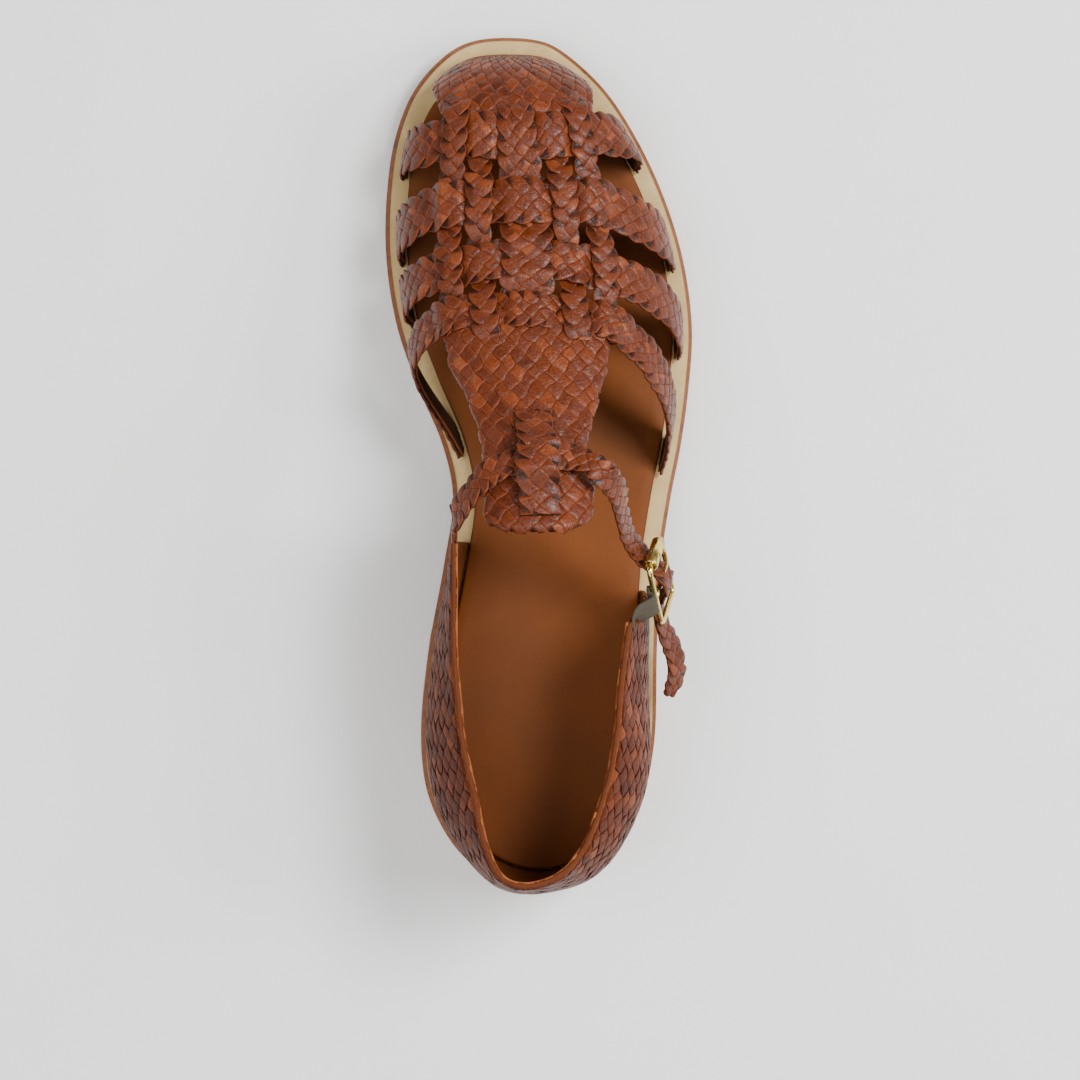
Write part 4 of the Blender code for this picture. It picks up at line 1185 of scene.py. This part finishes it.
def studio_floor():
    """Matte white paper sweep."""
    tree, material = new_material("paper_sweep")
    coords = add_node(tree, "TexCoord").outputs["Object"]
    tooth = add_node(tree, "TexNoise", {"Vector": coords, "Scale": per_mm(30.0), "Detail": 2.0})
    tint = add_node(
        tree, "MixRGB", {"Fac": tooth.outputs["Fac"], "Color1": srgb("#F4F4F3"), "Color2": srgb("#F7F7F6")}
    )
    shader = add_node(tree, "BsdfPrincipled", {"Base Color": tint.outputs[0], "Roughness": 0.9})
    add_node(tree, "OutputMaterial", {"Surface": shader.outputs[0]})
    return material


CALF = glazed_calf("glazed_calf_strips", 1.29, 0.92, 0.36, "#74361A")
# Painted shade: the quarter's strips are the vamp's calf in a darker copy (shade 0.78), with cut edges
# painted near-black for the shade in the grooves between strips
QUARTER_CALF = glazed_calf("calf_strips_painted_shade", 1.10, 0.78, 0.15, "#2A1009")
# The strips' flesh side, near-black: partly its own dark suede, partly painted shade in the gaps between
# strips
SUEDE = plain_leather("suede_flesh_side_and_painted_shade", "#251209", "#3A1D0D", "#6A3A1C", 0.9, 5.0, 0.5, 0.0001)
LINING = plain_leather("smooth_calf_lining", "#5C3014", "#74401B", "#8A4E24", 0.55, 22.0, 0.7)
RAW_EDGE = plain_leather("raw_cut_edge", "#4A2212", "#7C4322", "#5C2D15", 0.85, 1.6, 0.40, 0.0004)
WELT = plain_leather("natural_welt_leather", "#BA9C68", "#CDB17E", "#A07E4C", 0.7, 9.0, 0.6, 0.0001)
INSOLE = plain_leather("satin_insole_calf", "#62310A", "#713A0D", "#562B0B", 0.58, 40.0, 0.8, 0.00003)
SOLE_LEATHER = burnished_sole()
BRASS = polished_brass()
ELASTIC = woven_elastic()


def cross_strap_pieces():
    for order, name in enumerate(CROSS_STRAPS):
        girths = np.linspace(-1.0, 1.0, 241)
        knots = smooth_curve([(station * LENGTH, g) for station, g in zip(CROSS_STRAPS[name], GIRTHS)], 4)
        rows = row_of(np.interp(girths, knots[:, 1], knots[:, 0]))
        station = float(np.interp(0.0, GIRTHS, CROSS_STRAPS[name]))
        crossings = [
            float(np.interp(station, BRAID_STATIONS[::-1], BRAIDS[b][0][::-1])) for b in BRAIDS
        ]
        band = Band(rows, girths, weave_level(girths, crossings, order % 2 == 1))
        widths = np.array(STRAP_WIDTHS[name]) * BALL_WIDTH

        def width(s, band=band, widths=widths):
            return np.interp(s, (0.0, band.length / 2, band.length), widths)

        build = Build()
        braid(build, band.place, band.length, width, 5, 45, lead=0.3 * order)
        build.finish(name + "_plait", CALF, replaces=("vamp",))
        add_backing(name, band, width)


def add_backing(name, band, width):
    """The flesh side of the strips, which shows between them and inside the shoe, near-black as painted shade
    in the gaps.
    """
    build = Build()
    along = np.linspace(0.0, band.length, 60)
    half = width(along) / 2 - FLESH_INSET
    add_sheet(build, band.place, along, -half, half, FLESH_UNDER, FLESH_OVER, 7)
    build.finish(name + "_flesh_side", SUEDE, replaces=("vamp",))


def lengthwise_braid_pieces():
    for order, name in enumerate(BRAIDS):
        girths_at, front_width, rear_width = BRAIDS[name]
        stations = np.linspace(BRAID_STATIONS[0], BRAID_STATIONS[-1], 200)
        girths = np.interp(stations, BRAID_STATIONS[::-1], girths_at[::-1])
        halfway = (BRAID_STATIONS[0] + BRAID_STATIONS[-1]) / 2
        mid = float(np.interp(halfway, BRAID_STATIONS[::-1], girths_at[::-1]))
        crossings = [float(np.interp(mid, GIRTHS, CROSS_STRAPS[strap])) for strap in CROSS_STRAPS]
        level = weave_level(stations, crossings, order % 2 == 0)
        band = Band(row_of(stations * LENGTH), girths, level)

        def width(s, band=band, front=front_width, rear=rear_width):
            growth = np.clip(s / band.length / 0.6, 0.0, 1.0)
            return (front + (rear - front) * growth) * BALL_WIDTH

        strands = BRAID_STRANDS[name]
        build = Build()
        braid(build, band.place, band.length, width, strands, 39 if strands == 3 else 45, lead=0.4 * order)
        build.finish(name + "_plait", CALF, replaces=("vamp",))
        add_backing(name, band, width)


def panel_piece(name, rear, front, half_length, edges, cell, reach):
    """A panel woven over the last between two edges, with its flesh side under it."""
    step = cell * math.sqrt(2)

    def limits(s):
        inner, outer = edges(s)
        inner, outer = inner * half_length, outer * half_length
        scallop = 0.0005
        inner = inner + scallop * np.sin(math.pi * (s + inner) / step) ** 2
        return inner, outer - scallop * np.sin(math.pi * (s - outer) / step) ** 2

    def place(s, t, height):
        t, height = rolled(t, height, *limits(s))
        s, height = rolled(s, height, 0.0, front - rear + 0.003)
        return on_last(rear + s, t / half_length, height + PANEL_LEVEL)[0]

    def inside(s, t):
        inner, outer = edges(s)
        return (t > inner * half_length - 0.0004) & (t < outer * half_length + 0.0004)

    build = Build()
    lattice(build, place, (-0.0003, front - rear, reach * half_length), inside, cell, 45)
    build.finish(name + "_weave", CALF, replaces=("vamp",))
    build = Build()
    along = np.linspace(0.0012, front - rear, 60)
    inner, outer = edges(along)

    def under(s, t, height):
        return on_last(rear + s, t / half_length, height + PANEL_LEVEL)[0]

    low, high = inner * half_length + 0.0016, outer * half_length - 0.0016
    add_sheet(build, under, along, low, high, 0.0002, 0.0007, 25)
    build.finish(name + "_flesh_side", SUEDE, replaces=("vamp",))


def toe_panel_piece():
    rear = float(row_of(TOE_PANEL_REAR * LENGTH))
    front = TOE_START + TOE_REACH * math.radians(86)

    def edges(s):
        share = s / (front - rear)
        inner, outer = smooth_table(TOE_PANEL, 1, share), smooth_table(TOE_PANEL, 2, share)
        return np.maximum(inner, -1.0), np.minimum(outer, 1.0)

    panel_piece("toe_panel", rear, front, 0.047, edges, PANEL_CELL, 1.0)


def tongue_piece():
    rear, front = TONGUE[0][0] * LENGTH, TONGUE[-1][0] * LENGTH

    def edges(s):
        station = (rear + s) / LENGTH
        return smooth_table(TONGUE, 1, station), smooth_table(TONGUE, 2, station)

    panel_piece("tongue", rear, front, 0.083, edges, PANEL_CELL * 1.06, 0.36)


def bridge_piece():
    lift = PANEL_LEVEL + 2 * (WALL + RELIEF + STRAP_CLEAR)
    root = PANEL_LEVEL + WALL * 0.7
    stations = np.linspace(BRIDGE_STATIONS[0], BRIDGE_STATIONS[-1], 120)
    rise = np.interp(stations, BRIDGE_STATIONS[::-1], BRIDGE_LIFTS[::-1])
    level = root + rise * (lift - root)
    band = Band(stations * LENGTH, np.full(120, BRIDGE_GIRTH), level)

    def width(s):
        return np.full(np.shape(s), BRIDGE_WIDTH)

    build = Build()
    braid(build, band.place, band.length, width, 4, 45)
    build.finish("bridge_plait", CALF, replaces=("vamp",))
    add_backing("bridge", band, width)


def heel_quarter_pieces():
    slant = QUARTER_SLANT * QUARTER_LENGTH

    def front_end(t):
        return QUARTER_LENGTH - slant * np.clip(t / QUARTER_RISE, 0, 1)

    def inside(s, t):
        return (t > 0.0002) & (t < QUARTER_RISE + 0.0004) & (s > -0.0003) & (s < front_end(t) + 0.0003)

    def place(s, t, height):
        end = front_end(t)
        t, height = rolled(t, height, -0.01, QUARTER_RISE - 0.0002)
        s, height = rolled(s, height, 0.0, end)
        return on_quarter(s, t, height + 0.0003)

    build = Build()
    lattice(build, place, (0.0, QUARTER_LENGTH, QUARTER_RISE * 1.02), inside, QUARTER_CELL, 40)
    build.finish("heel_quarter_weave", QUARTER_CALF, replaces=("heel_quarter",))
    along = np.linspace(0.0, QUARTER_LENGTH * (1 - QUARTER_SLANT), 240)
    top = np.full(len(along), QUARTER_RISE)

    def ripple(s):
        return 0.00034 * np.sin(s * 310) + 0.00022 * np.sin(s * 790 + 1.0) + 0.00014 * np.sin(s * 1730)

    def leaning(s, t, height):
        share = s / (QUARTER_LENGTH * (1 - QUARTER_SLANT))
        reach = s + share * slant * (1 - np.clip(t / QUARTER_RISE, 0, 1))
        return on_quarter(reach, t, height)

    build = Build()
    add_sheet(build, leaning, along, 0.004 * top, top, 0.0, LINING_THICK, 26, wave=ripple)
    build.finish("heel_quarter_lining", LINING, replaces=("heel_quarter",))
    build = Build()
    low, high = top - EDGE_DEPTH, top + EDGE_PROUD
    add_sheet(build, leaning, along, low, high, *EDGE_HEIGHTS, 8, wave=lambda s: ripple(s * 1.3 + 1))
    build.finish("collar_raw_edge", RAW_EDGE, replaces=("heel_quarter",))


def ankle_strap_piece():
    band = FreeBand(strap_rows(), WALL)

    def width(s):
        to_end = np.clip((band.length - s) / 0.008, 0.0, 1.0)
        return STRAP_WIDTH * (0.55 + 0.45 * np.sin(to_end * math.pi / 2))

    build = Build()
    braid(build, band.place, band.length, width, 4, 42)
    build.finish("ankle_strap_plait", CALF, replaces=("ankle_strap",))
    build = Build()
    along = np.linspace(0.0, band.length, 120)
    half = width(along) / 2 - 0.0012
    add_sheet(build, band.place, along, -half, half, FLESH_UNDER, FLESH_OVER, 5)
    build.finish("ankle_strap_flesh_side", SUEDE, replaces=("ankle_strap",))


def buckle_pieces():
    half, side = BUCKLE_LENGTH / 2, (BUCKLE_WIDTH - WIRE) / 2
    corner = BEND * WIRE
    outline = []
    for quarter in range(4):
        sign_along = 1 if quarter in (0, 3) else -1
        sign_bar = 1 if quarter in (0, 1) else -1
        for step in range(9):
            turn = math.radians(90 * quarter + 11.25 * step)
            along = sign_along * (half - corner) + corner * math.cos(turn)
            across = sign_bar * (side - corner) + corner * math.sin(turn)
            outline.append(in_buckle(along, across, 0.0))
    build = Build()
    add_wire(build, outline, WIRE, closed=True)
    bar = [in_buckle(0.0, x, 0.0) for x in np.linspace(-side, side, 5)]
    add_wire(build, bar, WIRE * BAR_SHARE)
    build.finish("buckle_frame_wire", BRASS, replaces=("buckle_frame",))
    build = Build()
    turn = np.linspace(0, 2 * math.pi, 40, endpoint=False)
    outer, inner, lip = ROLLER_DIAMETER / 2, WIRE / 2 + GAP, 0.00012
    profile = []
    for end in (-1, 1):
        edge = end * ROLLER_LENGTH / 2
        rows = [(edge, inner), (edge, outer - lip), (edge - end * lip, outer)]
        profile += rows if end < 0 else rows[::-1]
    rings = []
    for bar_at, radius in profile:
        ring = [
            in_buckle(-half + radius * math.cos(a), bar_at, radius * math.sin(a)) for a in turn
        ]
        rings.append(ring)
    rings = np.array(rings)
    build.tube(rings, np.tile([0.5, 0.0, 0.5, 1.0], (*rings.shape[:2], 1)), closed=True)
    build.finish("buckle_roller_tube", BRASS, replaces=("buckle_roller",))
    build = Build()
    above = ROLLER_DIAMETER / 2 + GAP + WIRE / 2
    knots = [
        in_buckle(-WIRE - GAP, 0.0, 0.0),
        in_buckle(-WIRE - 0.0022, 0.0, above * 0.55),
        in_buckle(-half + ROLLER_DIAMETER * 0.7, 0.0, above),
        in_buckle(-half - ROLLER_DIAMETER * 0.25, 0.0, above * 1.0),
        in_buckle(-half - ROLLER_DIAMETER * 0.4, 0.0, above * 0.97),
    ]
    line = smooth_curve(knots, 8)
    flare = np.interp(np.arange(len(line)), [0, len(line) - 3, len(line) - 1], [1.0, 0.85, 0.4])
    add_wire(build, line, WIRE * PRONG_SHARE, flare=flare)
    build.finish("buckle_prong_pin", BRASS, replaces=("buckle_prong",))


def elastic_piece():
    clear = WALL * ELASTIC_DEPTH
    side = (BUCKLE_WIDTH - WIRE) / 2
    wrap = WIRE / 2 + GAP + ELASTIC_THICK / 2
    rows = []
    for round_share, height in ELASTIC_ROOT:
        point, outward = quarter_point(round_share, height)
        rows.append((point + outward * clear, outward))
    rows.append((in_buckle(ELASTIC_SEAT, side + 2.2 * WIRE, wrap * 0.6), BUCKLE[3]))
    rows.append((in_buckle(ELASTIC_SEAT, side + WIRE, -wrap * 0.7), BUCKLE[3]))
    rows.append((in_buckle(ELASTIC_SEAT, side - 0.5 * WIRE, -wrap), BUCKLE[3]))
    band = FreeBand(rows, ELASTIC_THICK)
    build = Build()
    along = np.linspace(0.0, band.length, 60)
    half = ELASTIC_WIDTH / 2 * (1.0 - ELASTIC_NARROWS * smooth_share(along / band.length / 0.6))
    add_sheet(build, band.place, along, -half, half, 0.0, ELASTIC_THICK, 12)
    build.finish("elastic_band", ELASTIC, replaces=("elastic_loop",))


def slab(name, outline_at, under, top, material, node, edge):
    """A layer of the sole with eased edges, between two heights that change along the shoe."""
    rings = []
    for inset, from_top in ((edge, 0.0), (edge * 0.35, edge * 0.22), (0.0, edge * 0.8)):
        outline = outline_at(inset)
        rings.append(np.column_stack([outline, top(outline[:, 1]) - from_top]))
    outline = outline_at(0.0)
    rings.append(np.column_stack([outline, under(outline[:, 1]) + edge * 0.5]))
    outline = outline_at(edge * 0.6)
    rings.append(np.column_stack([outline, under(outline[:, 1])]))
    rings = np.array(rings)
    marks = np.zeros((*rings.shape[:2], 4))
    marks[..., 3] = 1.0
    marks[1:, :, 1] = [[0.5], [1.0], [1.0], [1.0]]
    build = Build()
    at = np.arange(rings.shape[0] * rings.shape[1]).reshape(rings.shape[:2])
    low, high = at[:-1], at[1:]
    quads = np.stack([low, high, np.roll(high, -1, 1), np.roll(low, -1, 1)], axis=-1).reshape(-1, 4)
    build.add(rings, quads, marks)
    count = rings.shape[1]
    rows = count // 2
    for ring, height, turned in ((rings[0], top, False), (rings[-1], under, True)):
        outer = ring[: rows + 1]
        inner = ring[np.mod(-np.arange(rows + 1), count)]
        share = np.linspace(0.0, 1.0, SLAB_COLUMNS)
        grid = outer[:, None] + (inner - outer)[:, None] * share[None, :, None]
        grid[:, 1:-1, 2] = height(grid[:, 1:-1, 1])
        at = np.arange(grid.shape[0] * SLAB_COLUMNS).reshape(grid.shape[0], SLAB_COLUMNS)
        quads = np.stack([at[:-1, :-1], at[1:, :-1], at[1:, 1:], at[:-1, 1:]], axis=-1).reshape(-1, 4)
        flat_marks = np.zeros((*grid.shape[:2], 4))
        flat_marks[..., 3] = 1.0
        build.add(grid, quads[:, ::-1] if turned else quads, flat_marks)
    obj = build.finish(name, material, replaces=(node,))
    weld = obj.modifiers.new("weld", "WELD")
    weld.merge_threshold = 1e-6
    return obj


def sole_pieces():
    slab(
        "midsole_leather",
        lambda inset: sole_outline(RIM_WIDTH + inset, SOLE_STEPS),
        lambda y: outsole_top(y) + GAP * 0.3,
        midsole_top,
        WELT,
        "midsole",
        edge=0.0005,
    )
    slab(
        "insole_leather",
        lambda inset: set_back(sole_outline(BAND_WIDTH + inset, SOLE_STEPS)),
        lambda y: midsole_top(y) + GAP * 0.3,
        lambda y: midsole_top(y) + GAP + INSOLE_THICK,
        INSOLE,
        "insole",
        edge=0.0008,
    )
    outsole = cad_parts["outsole"]
    for slot in outsole.material_slots:
        slot.material = SOLE_LEATHER
    if not outsole.material_slots:
        outsole.data.materials.append(SOLE_LEATHER)
    ease = outsole.modifiers.new("eased edges", "BEVEL")
    ease.width = 0.0006
    ease.segments = 3
    ease.limit_method = "ANGLE"
    ease.angle_limit = math.radians(40)


# Soft boxes: name, place and width in metres, power in watts
LIGHTS = (
    ("key", (0.62, 0.38, 1.25), 0.45, 22.0),
    ("right_glint", (0.95, 0.02, 0.80), 0.40, 8.0),
    ("left_fill", (-0.7, -0.1, 1.5), 1.1, 18.0),
    ("rear_fill", (0.1, -1.1, 1.4), 1.0, 8.0),
)
ROOM_LIGHT = 0.26


def stage_and_lights():
    mesh = bpy.data.meshes.new("sweep")
    size = 4.0
    corners = [(-size, -size, 0), (size, -size, 0), (size, size, 0), (-size, size, 0)]
    mesh.from_pydata(corners, [], [(0, 1, 2, 3)])
    sweep = bpy.data.objects.new("sweep", mesh)
    bpy.context.scene.collection.objects.link(sweep)
    mesh.materials.append(studio_floor())
    world = bpy.data.worlds.new("studio")
    bpy.context.scene.world = world
    world.use_nodes = True
    background = world.node_tree.nodes["Background"]
    background.inputs["Color"].default_value = (1.0, 0.985, 0.965, 1.0)
    background.inputs["Strength"].default_value = ROOM_LIGHT
    for name, place, size, power in LIGHTS:
        light = bpy.data.lights.new(name, "AREA")
        light.size = size
        light.energy = power
        lamp = bpy.data.objects.new(name, light)
        bpy.context.scene.collection.objects.link(lamp)
        lamp.location = place
        lamp.rotation_euler = (Vector((0, 0, 0.03)) - Vector(place)).to_track_quat("-Z", "Y").to_euler()


SENSOR = 36.0
PHOTO_PIXELS = 1080
METRES_PER_PIXEL = 0.309e-3
CAMERA_HEIGHT = 1.2
CAMERA_OVER = (-0.0459, 0.1283)
CAMERA_AIM = (0.0005, 0.1063)


def camera_from_above():
    """The photograph's camera: 1.2 m straight above a spot beside the shoe, turned to the shoe itself."""
    data = bpy.data.cameras.new("camera")
    data.sensor_width = SENSOR
    data.lens = SENSOR * CAMERA_HEIGHT / (PHOTO_PIXELS * METRES_PER_PIXEL)
    camera = bpy.data.objects.new("camera", data)
    bpy.context.scene.collection.objects.link(camera)
    eye = Vector((*CAMERA_OVER, CAMERA_HEIGHT)) + Vector(SHIFT)
    aim = Vector((*CAMERA_AIM, 0.0)) + Vector(SHIFT)
    back = (eye - aim).normalized()
    right = Vector((0, 1, 0)).cross(back).normalized()
    up = back.cross(right)
    camera.matrix_world = Matrix.Translation(eye) @ Matrix((right, up, back)).transposed().to_4x4()
    bpy.context.scene.camera = camera


def main():
    stage_and_lights()
    camera_from_above()
    sole_pieces()
    toe_panel_piece()
    cross_strap_pieces()
    lengthwise_braid_pieces()
    tongue_piece()
    bridge_piece()
    heel_quarter_pieces()
    ankle_strap_piece()
    buckle_pieces()
    elastic_piece()


main()
